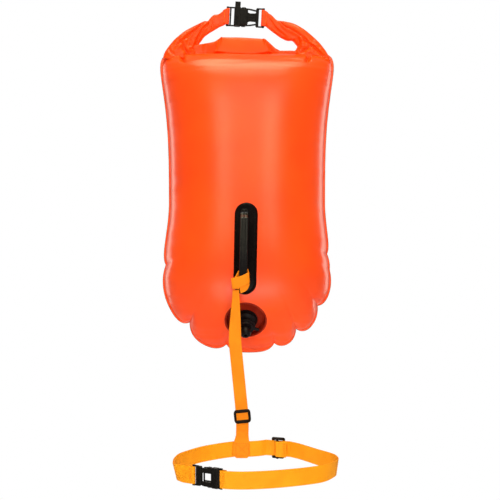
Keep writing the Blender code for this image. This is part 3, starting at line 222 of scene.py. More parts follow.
# Arms of the roll: outer edge, inner edge and half thickness, from the buckle down to the shoulder
LEFT_ARM_STATIONS = (
    ((-0.0372, 0.0292), (-0.0372, 0.0040), 0.0030), ((-0.0405, 0.0272), (-0.0405, 0.0022), 0.0034),
    ((-0.0486, 0.0214), (-0.0460, 0.0000), 0.0040), ((-0.0563, 0.0201), (-0.0540, -0.0047), 0.0050),
    ((-0.0621, 0.0150), (-0.0600, -0.0082), 0.0056), ((-0.0666, 0.0095), (-0.0646, -0.0109), 0.0062),
    ((-0.0729, 0.0092), (-0.0690, -0.0142), 0.0070), ((-0.0813, 0.0049), (-0.0729, -0.0175), 0.0078),
    ((-0.0913, 0.0000), (-0.0779, -0.0243), 0.0088), ((-0.1063, -0.0083), (-0.0813, -0.0292), 0.0100),
    ((-0.1163, -0.0167), (-0.0830, -0.0350), 0.0110), ((-0.1255, -0.0250), (-0.0840, -0.0410), 0.0120),
    ((-0.1346, -0.0367), (-0.0860, -0.0480), 0.0130), ((-0.1406, -0.0467), (-0.0900, -0.0560), 0.0138),
    ((-0.1430, -0.0550), (-0.0960, -0.0640), 0.0140),
)
RIGHT_ARM_STATIONS = (
    ((0.0322, 0.0256), (0.0322, 0.0006), 0.0030), ((0.0352, 0.0240), (0.0352, -0.0022), 0.0034),
    ((0.0425, 0.0192), (0.0411, -0.0070), 0.0042), ((0.0498, 0.0116), (0.0480, -0.0120), 0.0054),
    ((0.0560, 0.0100), (0.0541, -0.0165), 0.0062), ((0.0636, 0.0090), (0.0600, -0.0200), 0.0070),
    ((0.0792, 0.0051), (0.0650, -0.0225), 0.0082), ((0.0949, -0.0036), (0.0700, -0.0236), 0.0092),
    ((0.1080, -0.0139), (0.0770, -0.0237), 0.0102), ((0.1209, -0.0260), (0.0815, -0.0285), 0.0115),
    ((0.1285, -0.0350), (0.0850, -0.0335), 0.0124), ((0.1340, -0.0425), (0.0830, -0.0385), 0.0130),
    ((0.1385, -0.0500), (0.0800, -0.0440), 0.0136), ((0.1418, -0.0564), (0.0820, -0.0540), 0.0140),
    ((0.1430, -0.0640), (0.0900, -0.0640), 0.0142),
)
ARM_STEPS = 8
ARM_COLUMNS = 84
ARM_THICK_SHARE = 0.25
ARM_BREADTH_POWER = 0.85
ARM_DEPTH_POWER = 0.6
ARM_EDGE_POWER = 0.5
ARM_LEAST_SHARE = 0.12
ARM_SEEDS = (2.0, 21.0)
ARM_SIDE_SEED = 3.0

# Folds of the arms: places along and across, groove depth and width, and the height and side of its lip
LEFT_ARM_FOLDS = (
    (((0.44, 1.0), (0.50, 0.62), (0.57, 0.42), (0.64, 0.31), (0.77, 0.40), (0.88, 0.60)),
     0.0062, 0.075, 0.0022, -1),
    (((0.46, 0.10), (0.56, -0.36), (0.65, -0.74), (0.81, -0.80)), 0.0052, 0.080, 0.0016, 1),
    (((0.74, 0.55), (0.80, 0.10), (0.86, -0.34), (0.92, -0.55)), 0.0060, 0.100, 0.0016, -1),
    (((0.23, 0.20), (0.27, -0.40), (0.31, -1.00)), 0.0020, 0.090, 0.0008, 1),
    (((0.28, 0.95), (0.36, 0.40), (0.46, -0.05), (0.54, -0.30)), 0.0030, 0.090, 0.0012, 1),
    (((0.86, 0.95), (0.93, 0.30), (0.97, -0.30)), 0.0034, 0.120, 0.0010, 1),
)
RIGHT_ARM_FOLDS = (
    (((0.26, 1.0), (0.31, 0.70), (0.385, 0.30), (0.50, 0.16), (0.58, 0.03), (0.64, -0.10)),
     0.0056, 0.075, 0.0022, -1),
    (((0.58, 0.05), (0.66, -0.05), (0.74, 0.22), (0.86, 0.52), (0.94, 0.66)), 0.0062, 0.080, 0.0018, 1),
    (((0.57, -0.40), (0.64, -0.66), (0.70, -0.90), (0.76, -1.0)), 0.0052, 0.100, 0.0020, 1),
    (((0.70, 0.05), (0.78, -0.30), (0.88, -0.62)), 0.0056, 0.110, 0.0014, 1),
    (((0.10, 0.30), (0.20, -0.15), (0.30, -0.45), (0.42, -0.70)), 0.0026, 0.100, 0.0010, 1),
    (((0.86, -0.10), (0.93, 0.20), (0.97, 0.60)), 0.0034, 0.120, 0.0010, 1),
)
FOLD_FADE_POWER = 0.4
LIP_PLACE_SHARE = 2.6
LIP_WIDTH_SHARE = 1.8
ARM_CRUMPLE = 0.0016
ARM_CRUMPLE_SCALES = (9.0, 2.0)
ARM_CRUMPLE_START = (0.1, 0.5)
ARM_CREASE = 0.0012
ARM_CREASE_SCALES = (18.0, 3.6)
ARM_CREASE_SEED = 7.0
ARM_CREASE_START = (0.45, 0.8)

# Both buckles
BAR_WIDTH = 0.0022
BAR_HALF = 0.0010
BAR_END_INSET = 0.001
RAIL_HEIGHT = 0.0024
EAR_LENGTH = 0.0042
EAR_HALF = 0.0017
EAR_MARGIN = 0.0002
BUCKLE_WALL = 0.0018
BODY_ROUNDING = 0.0013
BODY_ROUNDING_DEGREES = 50
EDGE_ROUNDING_DEGREES = 35
EDGE_SEGMENTS = 2
FINE_SEGMENTS = 3
CUT_REACH = 0.02

# Whistle buckle, about its own centre with the whistle half at -x; ribs as low x, high x, low z, high z
WHISTLE_PLACE = (-0.0028, 0.0, 0.0165)
WHISTLE_TILT_DEGREES = 3.0
WHISTLE_HALF_LENGTH = 0.0325
WHISTLE_HALF_HEIGHT = 0.0165
WHISTLE_HALF_THICKNESS = 0.0045
WHISTLE_BODY_HALF_OUTLINE = (
    (0.0044, 0.0), (0.0044, 0.0096), (0.0030, 0.0134), (0.0016, 0.0146), (-0.0078, 0.0146),
    (-0.0090, 0.0163), (-0.0180, 0.0163), (-0.0192, 0.0150), (-0.0192, 0.0),
)
WHISTLE_CAVITY_X = -0.0090
WHISTLE_WINDOW = ((-0.0184, -0.0031, 0.0042), (-0.0086, 0.0031, 0.02))
WHISTLE_RIDGE_HALF = 0.0006
WHISTLE_RIDGES = [
    (x - WHISTLE_RIDGE_HALF, x + WHISTLE_RIDGE_HALF, -0.0135, 0.0015) for x in (-0.0168, -0.0146, -0.0124)
]
WHISTLE_RIDGE_FACE = (0.0005, 0.0008)
WHISTLE_PANELS = ((-0.0085, 0.0022, -0.0125, 0.0120),)
WHISTLE_PANEL_FACE = (0.0003, 0.001)
WHISTLE_FRAME_STARTS = (-0.0180, 0.0215)
WHISTLE_INNER_BAR = (-0.0266, -0.0240)
WHISTLE_BASE_HALF_OUTLINE = (
    (0.0228, 0.0), (0.0228, 0.0148), (0.0216, 0.0160), (0.0188, 0.0160), (0.0176, 0.0140), (0.0176, 0.0),
)
WHISTLE_BASE_STAND = 0.0012
WHISTLE_TONGUE_HALF_OUTLINE = (
    (0.0182, 0.0), (0.0182, 0.0086), (0.0166, 0.0070), (0.0080, 0.0066),
    (0.0040, 0.0080), (-0.0055, 0.0080), (-0.0070, 0.0066), (-0.0070, 0.0),
)
TONGUE_RIB_Z = (-0.0040, 0.0, 0.0040)
TONGUE_RIB_X = (0.0060, 0.0160)
TONGUE_RIB_HALF = 0.0006
TONGUE_RIB_STAND = 0.0007
TAB_TAIL = 0.0070
TAB_NEAR = 0.003
TAB_LOOP_RADIUS = 0.0024
TAB_LOOP_INSET = 0.0014
TAB_SQUEEZE = 0.7
TAB_TAPERS = (0.0008, 0.0042)
TAB_THREAD_SHARE = 0.55
TAB_THREAD_STAND = 0.0090
TAB_THREAD_INSETS = (0.002, 0.006)

# Belt buckle, about its own centre with the female half at -x
BELT_BUCKLE_PLACE = (-0.0545, -0.2390, -0.6970)
BELT_BUCKLE_YAW_DEGREES = 153.0
BELT_BUCKLE_HALF_LENGTH = 0.0240
BELT_BUCKLE_HALF_HEIGHT = 0.0145
BELT_BUCKLE_HALF_THICKNESS = 0.0042
BELT_BODY_HALF_OUTLINE = (
    (0.0080, 0.0), (0.0080, 0.0105), (0.0066, 0.0126), (0.0030, 0.0131), (-0.0060, 0.0131),
    (-0.0100, 0.0142), (-0.0172, 0.0142), (-0.0184, 0.0130), (-0.0184, 0.0),
)
BELT_CAVITY_X = -0.0115
BELT_WINDOW = ((-0.0078, -0.01, -0.0060), (0.0062, 0.01, 0.0060))
BELT_RIDGE_HALF = 0.0005
BELT_RIDGES = [(x - BELT_RIDGE_HALF, x + BELT_RIDGE_HALF, -0.0110, 0.0110) for x in (-0.0138, -0.0118)]
BELT_RIDGE_FACE = (0.0004, 0.0006)
BELT_FRAME_STARTS = (-0.0150, 0.0140)
BELT_BASE_HALF_OUTLINE = (
    (0.0178, 0.0), (0.0178, 0.0128), (0.0166, 0.0138), (0.0104, 0.0138), (0.0092, 0.0122), (0.0092, 0.0),
)
BELT_BASE_STAND = 0.0010

# Tow patch
PATCH_X = -0.0020
PATCH_TOP_Z = -0.3030
PATCH_HEIGHT = 0.1480
PATCH_MIDDLE_Z = PATCH_TOP_Z - PATCH_HEIGHT / 2
PATCH_WIDTH = 0.0372
PATCH_LIFT = 0.0005
PATCH_THICKNESS = 0.0020
PATCH_COLUMNS = 37
PATCH_ROWS = 121
PATCH_LEAN = 0.020
PATCH_HEM_HEIGHT = 0.0009
PATCH_HEM_WIDTH = 0.0004
PATCH_RIM_PLACE = 0.0026
PATCH_RIM_HEIGHT = 0.0014
PATCH_RIM_WIDTH = 0.0011
PATCH_FIELD_HEIGHT = 0.0006

# Strap: heights, each with how far it lies behind the strap's plane, or nothing where it lies on the patch
STRAP_X = -0.0050
STRAP_Y = -0.0900
STRAP_STATIONS = (
    (-0.3135, None), (-0.3175, None), (-0.3213, None), (-0.3285, 0.0012), (-0.3315, 0.0),
    (-0.3700, 0.0), (-0.4175, 0.0), (-0.4215, 0.0016), (-0.4355, None), (-0.4405, None),
)
STRAP_WIDTH = 0.0132
STRAP_THICKNESS = 0.0020
STRAP_SEAT = 0.0016
STRAP_COLUMNS = 41
STRAP_END_ROUNDING = (-0.0045, 0.0055)
STRAP_EDGE_POWER = 6
STRAP_RIB_PLACES = (-0.82, -0.04, 0.74)
STRAP_RIB_WIDTH = 0.13
STRAP_RIB_HEIGHT = 0.0006
RIVET_XS = (-0.0062, -0.0016)
RIVET_Z = -0.3165
RIVET_PROFILE = ((0.0017, 0.0), (0.0016, 0.0007), (0.0009, 0.0009), (0.0007, 0.0002))
RIVET_SIDES = 20

# Webbing and its stitches
WEB_THICKNESS = 0.0012
WEB_HALF_PROFILE = ((1.0, 0.0), (0.975, 0.75), (0.88, 1.0), (0.6, 1.0), (0.3, 1.0), (0.0, 1.0))
ROUTE_STEPS = 8
HAIRPIN_STEPS = 10
STITCH_LENGTH = 0.0024
STITCH_RADIUS = 0.00035
STITCH_PITCH_SHARE = 1.35
STITCH_BREADTH_SHARE = 1.3
STITCH_PROFILE = ((-1.0, 0.3), (-0.55, 1.0), (0.55, 1.0), (1.0, 0.3))
STITCH_SIDES = 6

# Leash
LEASH_WIDTH = 0.0200
LEASH_NECK_WIDTH = 0.0106
LEASH_NECK_SHIFT = 0.0015
LEASH_SPREAD_LENGTH = 0.085
LEASH_SPREAD_POWER = 0.7
LEASH_CUP = 0.0009
LEASH_END_X = -0.0072
LEASH_END_SPAN = (-0.0155, 0.0118)
LEASH_END_FLARE = (-0.014, 0.010)
LEASH_FOOT_TAPER = (-0.004, 0.002)
LEASH_FOOT_SHARES = (0.62, 0.7)
LEASH_Y = -0.0900
LEASH_TOP_X = -0.0188
LEASH_HINGE_Z = -0.4438
LEASH_BEND_Z = -0.5250
LEASH_SLIDER_PLACE = (-0.0070, -0.6430)
LEASH_LAYER_OFFSET = 0.0009
LEASH_SLIDER_LENGTH = 0.0222
LEASH_STRAIGHT_DROP = 0.001
LEASH_STEP = 0.006
LEASH_TURN_STEPS = 6
LEASH_END_STEPS = 5
LEASH_SLANT_DROP = 0.010
LEASH_CORNER_DROP = 0.004
LEASH_END_STAND = 0.0012
LEASH_START_STAND = 0.0030
LEASH_START_RISE = 0.006
LEASH_LAID_DROP = 0.002
LEASH_HEM_CLEARANCE = 0.0002
LEASH_TAIL_DROP = 0.008
LEASH_THREAD_SPAN = (-0.0105, 0.0095)
LEASH_THREAD_HALF_HEIGHT = 0.0095

# Hitch of the leash: each band's route and the sideways lean of its upward direction
HITCH_STEPS = 7
HITCH_FRONT_ROUTE = (
    (-0.0200, -0.0885, -0.4328), (-0.0232, -0.0905, -0.4326), (-0.0232, -0.0940, -0.4322),
    (-0.0200, -0.0958, -0.4316), (-0.0125, -0.0962, -0.4300), (-0.0040, -0.0960, -0.4268),
    (0.0010, -0.0948, -0.4238), (0.0036, -0.0924, -0.4222), (0.0030, -0.0890, -0.4218),
)
HITCH_FRONT_LEANS = (-0.10, -0.10, -0.10, -0.12, -0.16, -0.14, -0.10, -0.08, -0.08)
HITCH_BACK_ROUTE = (
    (-0.0190, -0.0945, -0.4290), (-0.0168, -0.0930, -0.4262), (-0.0140, -0.0898, -0.4210),
    (-0.0118, -0.0876, -0.4180), (-0.0050, -0.0870, -0.4172), (0.0008, -0.0874, -0.4165),
    (0.0024, -0.0898, -0.4188), (0.0034, -0.0930, -0.4230),
)
HITCH_BACK_LEANS = (0.0,) * len(HITCH_BACK_ROUTE)
HITCH_UNDER_ROUTE = (
    (0.0026, -0.0900, -0.4262), (0.0022, -0.0922, -0.4285), (-0.0030, -0.0930, -0.4358),
    (-0.0085, -0.0930, -0.4394), (-0.0112, -0.0930, -0.4404),
)
HITCH_UNDER_LEANS = (-0.15, -0.22, -0.50, -0.35, -0.20)
HITCH_BANDS = (
    ("hitch_front", HITCH_FRONT_ROUTE, HITCH_FRONT_LEANS, 0.0170),
    ("hitch_back", HITCH_BACK_ROUTE, HITCH_BACK_LEANS, 0.0150),
    ("hitch_under", HITCH_UNDER_ROUTE, HITCH_UNDER_LEANS, 0.0150),
)
HITCH_LEG_TOP_Z = -0.4300
HITCH_LEG_STEP = 0.004

# Sliders
SLIDER_CORNER_STEPS = 6
SLIDER_SIDES = 16
SLIDER_EDGE_POWER = 0.6
SLIDER_SIDE_WIDTH = 0.0042
SLIDER_DEPTH = 0.0060
LEASH_SLIDER_CORNER_RADIUS = 0.0034
LEASH_SLIDER_BAR_WIDTH = 0.0056
LEASH_SLIDER_MARGIN = 0.0034
LEASH_SLIDER_TILT_DEGREES = 5.7
LEASH_BAR_HALVES = (0.0008, 0.0018)
BELT_SLIDER_PLACE = (0.0500, -0.0770)
BELT_SLIDER_YAW_DEGREES = -17.0
BELT_SLIDER_RUN = 0.0200
BELT_SLIDER_LENGTH = 0.0220
BELT_SLIDER_SIDE_SHIFT = 0.0028
BELT_SLIDER_RISE = 0.0008
BELT_SLIDER_CORNER_RADIUS = 0.0012
BELT_SLIDER_MARGIN = 0.0042
BELT_BAR_HALVES = (0.0018, 0.0012)

# Belt
BELT_WIDTH = 0.0250
BELT_Z = -0.6970
BELT_HOOK_TAIL = 0.0065
BELT_HOOK_NEAR = 0.005
BELT_HOOK_RADIUS = 0.0024
BELT_THREAD_SHARES = (0.35, 0.62)
BELT_THREAD_HALF_HEIGHT = 0.0105
BELT_SHORT_ROUTE = (
    (-0.0970, -0.2192), (-0.1022, -0.2120), (-0.1036, -0.1980), (-0.1030, -0.1780), (-0.0962, -0.1520),
    (-0.0745, -0.1200), (-0.0460, -0.0965),
)
BELT_JOIN_Y = -0.0815
BELT_JOIN_HALF_LENGTH = 0.0125
BELT_RISE = (0.0200, -0.0775)
BELT_LONG_ROUTE = (
    (0.0850, -0.0990), (0.1080, -0.1310), (0.1275, -0.1580), (0.1330, -0.1760), (0.1305, -0.1940),
    (0.1116, -0.2200), (0.0798, -0.2370), (0.0345, -0.2515), (-0.0040, -0.2570),
)
LEAN_START_X = (-0.0880, 0.1050)
LEAN_FULL_X = (-0.1000, 0.1300)
LEFT_LEAN = -0.25
RIGHT_LEAN = 0.14
FOLD_TAIL = 0.0150
FOLD_RADIUS = 0.0027
FOLD_THREAD_INSETS = (0.0045, 0.0020)
FOLD_THREAD_MARGIN = 0.002

# Valve wells: how far each ring of the film stands out past the well's radius, above the chamber's skin, and
# what share of the way down to the well's floor it lies
VALVE_PLACE = (-0.0020, 0.0490, -0.4955)
VALVE_NORMAL = (-0.0017, 0.8287, -0.5597)
WELL_RADIUS = 0.0325
WELL_DEPTH = 0.0140
WELL_WALL = 0.0012
WELL_LIP = 0.0022
WELL_STEPS = 96
WELL_CUT_REACH = 0.03
WELL_PROFILE = (
    (WELL_LIP, 0.0004, 0.0),
    (WELL_LIP * 0.6, 0.0011, 0.0),
    (0.0, 0.0013, 0.0),
    (-WELL_WALL * 0.7, 0.0004, 0.0),
    (-WELL_WALL, -0.0020, 0.0),
    (-WELL_WALL * 1.1, 0.0, 0.5),
    (-WELL_WALL * 1.5, 0.0, 0.85),
    (-WELL_WALL * 3.0, 0.0, 0.97),
    (-WELL_WALL * 9.0, 0.0, 1.0),
    (-WELL_WALL * 18.0, 0.0, 1.0),
)
SURFACE_TRIES = 12


def smooth_step(low, high, value):
    share = min(1.0, max(0.0, (value - low) / (high - low)))
    return share * share * (3 - 2 * share)


def mixed(start, end, share):
    return start + (end - start) * share


def signed_power(value, power):
    return math.copysign(abs(value) ** power, value)


def hill(away, width):
    """A smooth hill of height one, by the distance from its middle."""
    return math.exp(-((away / width) ** 2))


def angles(steps):
    return [2 * math.pi * step / steps for step in range(steps)]


# Materials


def new_material(name, colour, roughness, gloss):
    material = bpy.data.materials.new(name)
    material.use_nodes = True
    shader = shader_of(material)
    shader.inputs["Base Color"].default_value = (*colour, 1.0)
    shader.inputs["Roughness"].default_value = roughness
    shader.inputs["Specular IOR Level"].default_value = gloss
    return material


def shader_of(material):
    return material.node_tree.nodes["Principled BSDF"]


def add_node(material, kind, **values):
    node = material.node_tree.nodes.new(kind)
    for name, value in values.items():
        node.inputs[name.replace("_", " ")].default_value = value
    return node


def connect(material, source, output, target, entry):
    material.node_tree.links.new(source.outputs[output], target.inputs[entry])


def noise_of(material, scale_and_detail, stretch=None):
    """A noise over the piece's own space, drawn out along its axes where stretch is given."""
    scale, detail = scale_and_detail
    place = add_node(material, "ShaderNodeTexCoord")
    output = "Object"
    if stretch:
        mapping = add_node(material, "ShaderNodeMapping", Scale=stretch)
        connect(material, place, output, mapping, "Vector")
        place, output = mapping, "Vector"
    grain = add_node(material, "ShaderNodeTexNoise", Scale=scale, Detail=detail)
    connect(material, place, output, grain, "Vector")
    return grain


def ramp_between(material, source, output, places, colours):
    ramp = add_node(material, "ShaderNodeValToRGB")
    for element, place, colour in zip(ramp.color_ramp.elements, places, colours):
        element.position = place
        element.color = (*colour, 1.0)
    connect(material, source, output, ramp, "Fac")
    return ramp


def vary_colour(material, grain, places, colours):
    ramp = ramp_between(material, grain, "Fac", places, colours)
    connect(material, ramp, "Color", shader_of(material), "Base Color")


def vary_roughness(material, grain, low, high):
    spread = add_node(material, "ShaderNodeMapRange", To_Min=low, To_Max=high)
    connect(material, grain, "Fac", spread, "Value")
    connect(material, spread, "Result", shader_of(material), "Roughness")


def add_bumps(material, heights):
    """Bumps laid on one another, each given as (node, output, strength, distance)."""
    before = None
    for node, output, strength, distance in heights:
        bump = add_node(material, "ShaderNodeBump", Strength=strength, Distance=distance)
        connect(material, node, output, bump, "Height")
        if before:
            connect(material, before, "Normal", bump, "Normal")
        before = bump
    connect(material, before, "Normal", shader_of(material), "Normal")


def coated_fabric(name, colour, deep_colour, crumple, gloss):
    """Coated nylon: a satin film over a fine weave, with soft unevenness from the air inside."""
    material = new_material(name, colour, FABRIC_ROUGHNESS[0], gloss)
    vary_colour(material, noise_of(material, FABRIC_CLOUD), FABRIC_CLOUD_PLACES, (deep_colour, colour))
    vary_roughness(material, noise_of(material, FABRIC_SHEEN), *FABRIC_ROUGHNESS)
    swell = noise_of(material, FABRIC_SWELL)
    folds = noise_of(material, FABRIC_CRUMPLE, FABRIC_CRUMPLE_STRETCH)
    weave = noise_of(material, FABRIC_WEAVE)
    add_bumps(
        material,
        (
            (swell, "Fac", *FABRIC_SWELL_BUMP),
            (folds, "Fac", crumple, FABRIC_CRUMPLE_HEIGHT),
            (weave, "Fac", *FABRIC_WEAVE_BUMP),
        ),
    )
    return material


def woven_webbing(name, colour, deep_colour):
    """Flat webbing: ribs across its width and fine warp lines along it, from its own u and v in metres."""
    material = new_material(name, colour, WEB_ROUGHNESS, WEB_GLOSS)
    place = add_node(material, "ShaderNodeTexCoord")
    weave = add_node(material, "ShaderNodeMath")
    weave.operation = "MULTIPLY"
    for entry, (direction, scale, distortion) in enumerate(WEB_WAVES):
        wave = add_node(material, "ShaderNodeTexWave", Scale=scale, Distortion=distortion)
        wave.bands_direction = direction
        connect(material, place, "UV", wave, "Vector")
        connect(material, wave, "Fac", weave, entry)
    shade = ramp_between(material, weave, "Value", WEB_WEAVE_PLACES, (deep_colour, colour))
    cloud = noise_of(material, WEB_CLOUD)
    tint = ramp_between(material, cloud, "Fac", WEB_CLOUD_PLACES, (WEB_CLOUD_TINT, WHITE))
    mix = add_node(material, "ShaderNodeMix", Factor=1.0)
    mix.data_type = "RGBA"
    mix.blend_type = "MULTIPLY"
    for ramp, entry in zip((shade, tint), MIX_COLOUR_ENTRIES):
        connect(material, ramp, "Color", mix, entry)
    connect(material, mix, MIX_COLOUR_OUTPUT, shader_of(material), "Base Color")
    add_bumps(material, ((weave, "Value", *WEB_WEAVE_BUMP), (cloud, "Fac", *WEB_CLOUD_BUMP)))
    return material


def moulded_plastic(name, colour, roughness, grain_strength):
    material = new_material(name, colour, roughness, PLASTIC_GLOSS)
    cloud = noise_of(material, PLASTIC_CLOUD)
    lighter = [value * PLASTIC_LIGHTER_SHARE + PLASTIC_LIGHTER_STEP for value in colour]
    vary_colour(material, cloud, PLASTIC_CLOUD_PLACES, (colour, lighter))
    vary_roughness(material, cloud, *(roughness + spread for spread in PLASTIC_ROUGHNESS_SPREAD))
    grain = noise_of(material, PLASTIC_GRAIN)
    add_bumps(material, ((grain, "Fac", grain_strength, PLASTIC_GRAIN_HEIGHT),))
    return material


def glossy_film(name, colour, edge_colour, roughness, gloss):
    material = new_material(name, colour, roughness, gloss)
    cloud = noise_of(material, FILM_CLOUD)
    vary_colour(material, cloud, FILM_CLOUD_PLACES, (colour, edge_colour))
    vary_roughness(material, cloud, roughness, roughness + FILM_ROUGHNESS_SPREAD)
    add_bumps(material, ((noise_of(material, FILM_RIPPLE), "Fac", *FILM_RIPPLE_BUMP),))
    return material


def math_node(tree, operation, *values):
    """The output of a math node, fed by other nodes' outputs or by plain numbers."""
    node = tree.nodes.new("ShaderNodeMath")
    node.operation = operation
    for entry, value in zip(node.inputs, values):
        if isinstance(value, float):
            entry.default_value = value
        else:
            tree.links.new(value, entry)
    return node.outputs[0]


def mix_shaders(tree, share, first, second, output):
    mix = tree.nodes.new("ShaderNodeMixShader")
    for source, entry in zip((share, first, second), mix.inputs):
        tree.links.new(source, entry)
    tree.links.new(mix.outputs["Shader"], output.inputs["Surface"])


def white_surround(name):
    """White to the camera, dimmer in reflections, and a plain pale surface for the light that it throws."""
    material = new_material(name, SURROUND_COLOUR, SURROUND_ROUGHNESS, SURROUND_GLOSS)
    tree = material.node_tree
    path = tree.nodes.new("ShaderNodeLightPath")
    camera, glossy = path.outputs["Is Camera Ray"], path.outputs["Is Glossy Ray"]
    glow = tree.nodes.new("ShaderNodeEmission")
    dimmed = math_node(tree, "MULTIPLY", glossy, REFLECTED_SHARE)
    tree.links.new(math_node(tree, "MAXIMUM", camera, dimmed), glow.inputs["Strength"])
    share = math_node(tree, "MAXIMUM", camera, glossy)
    plain = shader_of(material).outputs["BSDF"]
    mix_shaders(tree, share, plain, glow.outputs["Emission"], tree.nodes["Material Output"])
    return material


ORANGE = (1.0, 0.078, 0.0012)
DEEP_ORANGE = (0.97, 0.060, 0.0008)
FABRIC = coated_fabric("orange_coated_fabric", ORANGE, DEEP_ORANGE, 0.05, 0.42)
ROLLED = coated_fabric("orange_rolled_fabric", ORANGE, (0.90, 0.045, 0.0010), 0.35, 0.20)
# The weld's brown-orange is partly the weld's own colour and partly painted shade, for the shade its edge
# falls in.
WELD_WITH_PAINTED_SHADE = coated_fabric("orange_weld_with_painted_shade", (0.68, 0.140, 0.016), (0.58, 0.110, 0.012), 0.10, 0.25)
CUT_EDGE = moulded_plastic("weld_cut_edge", (0.30, 0.125, 0.026), 0.5, 0.2)
LINING = coated_fabric("inner_film", (0.74, 0.105, 0.008), (0.62, 0.085, 0.006), 0.10, 0.30)
WEBBING = woven_webbing("yellow_webbing", (1.0, 0.415, 0.011), (0.88, 0.270, 0.006))
# The leash's webbing is the belt's yellow webbing painted darker: painted shade for the weaker light on the
# leash.
SHADED_LEASH_WEBBING = woven_webbing("leash_webbing", (0.99, 0.315, 0.009), (0.86, 0.210, 0.005))
STITCH = woven_webbing("orange_thread", (0.98, 0.300, 0.012), (0.88, 0.200, 0.008))
PLASTIC = moulded_plastic("black_plastic", (0.0055, 0.0048, 0.0046), 0.36, 0.25)
DARK_PLASTIC = moulded_plastic("slider_plastic", (0.010, 0.0055, 0.0040), 0.36, 0.25)
RUBBER = glossy_film("black_gloss_film", (0.0016, 0.0006, 0.0006), (0.004, 0.0014, 0.0014), 0.22, 0.07)
STRAP = glossy_film("black_strap_rubber", (0.0020, 0.0012, 0.0012), (0.003, 0.0018, 0.0018), 0.05, 0.45)
VALVE = glossy_film("valve_rubber", (0.0045, 0.0022, 0.0026), (0.010, 0.006, 0.007), 0.28, 0.16)
# The well film's dark red is painted shade: the orange film of the recess, painted dark as if in shadow.
SHADED_WELL_FILM = glossy_film("dark_red_film", (0.19, 0.006, 0.001), (0.34, 0.022, 0.006), 0.34, 0.12)
SURROUND = white_surround("white_surround")


# Meshes


def mesh_piece(name, points, faces, material, smooth=True):
    mesh = bpy.data.meshes.new(name)
    mesh.from_pydata([tuple(point) for point in points], [], faces)
    shape = bmesh.new()
    shape.from_mesh(mesh)
    bmesh.ops.recalc_face_normals(shape, faces=shape.faces)
    shape.to_mesh(mesh)
    shape.free()
    if smooth:
        mesh.shade_smooth()
    mesh.materials.append(material)
    piece = bpy.data.objects.new(name, mesh)
    bpy.context.scene.collection.objects.link(piece)
    return piece


def place_piece(piece, body, slot, *nodes):
    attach(piece, body)
    if nodes:
        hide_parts(*nodes)


def sheet_faces(columns, rows, closed):
    """Faces between rows of points, where each row closes on itself if asked."""
    faces = []
    for row in range(rows - 1):
        for column in range(columns if closed else columns - 1):
            following = (column + 1) % columns
            low, high = row * columns, (row + 1) * columns
            faces.append((low + column, low + following, high + following, high + column))
    return faces


def sheet(name, columns, rows, point_at, material):
    """An open sheet of points, each given by point_at for its place across and up, from -1 to 1."""
    points = [
        point_at(2 * column / (columns - 1) - 1, 2 * row / (rows - 1) - 1)
        for row in range(rows)
        for column in range(columns)
    ]
    return mesh_piece(name, points, sheet_faces(columns, rows, False), material)


def add_shell(piece, thickness):
    """Thickens a sheet evenly to both sides."""
    shell = piece.modifiers.new("thickness", "SOLIDIFY")
    shell.thickness = thickness
    shell.offset = 0.0


def capped_faces(columns, rows):
    """The faces of a closed skin, with a flat face over each end."""
    last = (rows - 1) * columns
    ends = [tuple(range(columns)), tuple(last + index for index in reversed(range(columns)))]
    return sheet_faces(columns, rows, True) + ends


def loft(name, rings, material, capped=True):
    """A skin through closed rings of points, with a flat face over each end if capped."""
    columns, rows = len(rings[0]), len(rings)
    faces = capped_faces(columns, rows) if capped else sheet_faces(columns, rows, True)
    return mesh_piece(name, [point for ring in rings for point in ring], faces, material)


def directions(path):
    """At each point of a path, the way from the point before it to the point after it."""
    ends = [path[0], *path, path[-1]]
    return [after - before for before, after in zip(ends, ends[2:])]


def apply_modifiers(piece):
    graph = bpy.context.evaluated_depsgraph_get()
    mesh = bpy.data.meshes.new_from_object(piece.evaluated_get(graph))
    piece.modifiers.clear()
    piece.data = mesh


def round_edges(piece, width, segments=EDGE_SEGMENTS, degrees=EDGE_ROUNDING_DEGREES):
    bevel = piece.modifiers.new("round edges", "BEVEL")
    bevel.width = width
    bevel.segments = segments
    bevel.limit_method = "ANGLE"
    bevel.angle_limit = math.radians(degrees)
    bevel.harden_normals = True


def plate(name, outline, low_y, high_y, material, turn):
    """A plate of an outline of (x, z) pairs between two depths, turned into its place by a matrix."""
    points = [turn @ Vector((x, y, z)) for y in (low_y, high_y) for x, z in outline]
    count = len(outline)
    faces = [tuple(range(count)), tuple(reversed(range(count, 2 * count)))]
    for index in range(count):
        following = (index + 1) % count
        faces.append((index, following, count + following, count + index))
    return mesh_piece(name, points, faces, material, smooth=False)


def box_piece(name, low, high, material, turn):
    outline = ((low[0], low[2]), (high[0], low[2]), (high[0], high[2]), (low[0], high[2]))
    return plate(name, outline, low[1], high[1], material, turn)


def cut_from(piece, cutter):
    """Cuts a helper from a piece and removes the helper."""
    cut = piece.modifiers.new("cut", "BOOLEAN")
    cut.operation = "DIFFERENCE"
    cut.solver = "EXACT"
    cut.object = cutter
    apply_modifiers(piece)
    bpy.data.objects.remove(cutter, do_unlink=True)


def joined(name, pieces):
    """One piece from several, each with its modifiers applied."""
    for piece in pieces:
        apply_modifiers(piece)
    bpy.ops.object.select_all(action="DESELECT")
    for piece in pieces:
        piece.select_set(True)
    bpy.context.view_layer.objects.active = pieces[0]
    bpy.ops.object.join()
    pieces[0].name = name
    pieces[0].data.name = name
    return pieces[0]


# Bag skins


def squareness(height_share):
    return SHOULDER_SQUARENESS if height_share > 0 else BASE_SQUARENESS


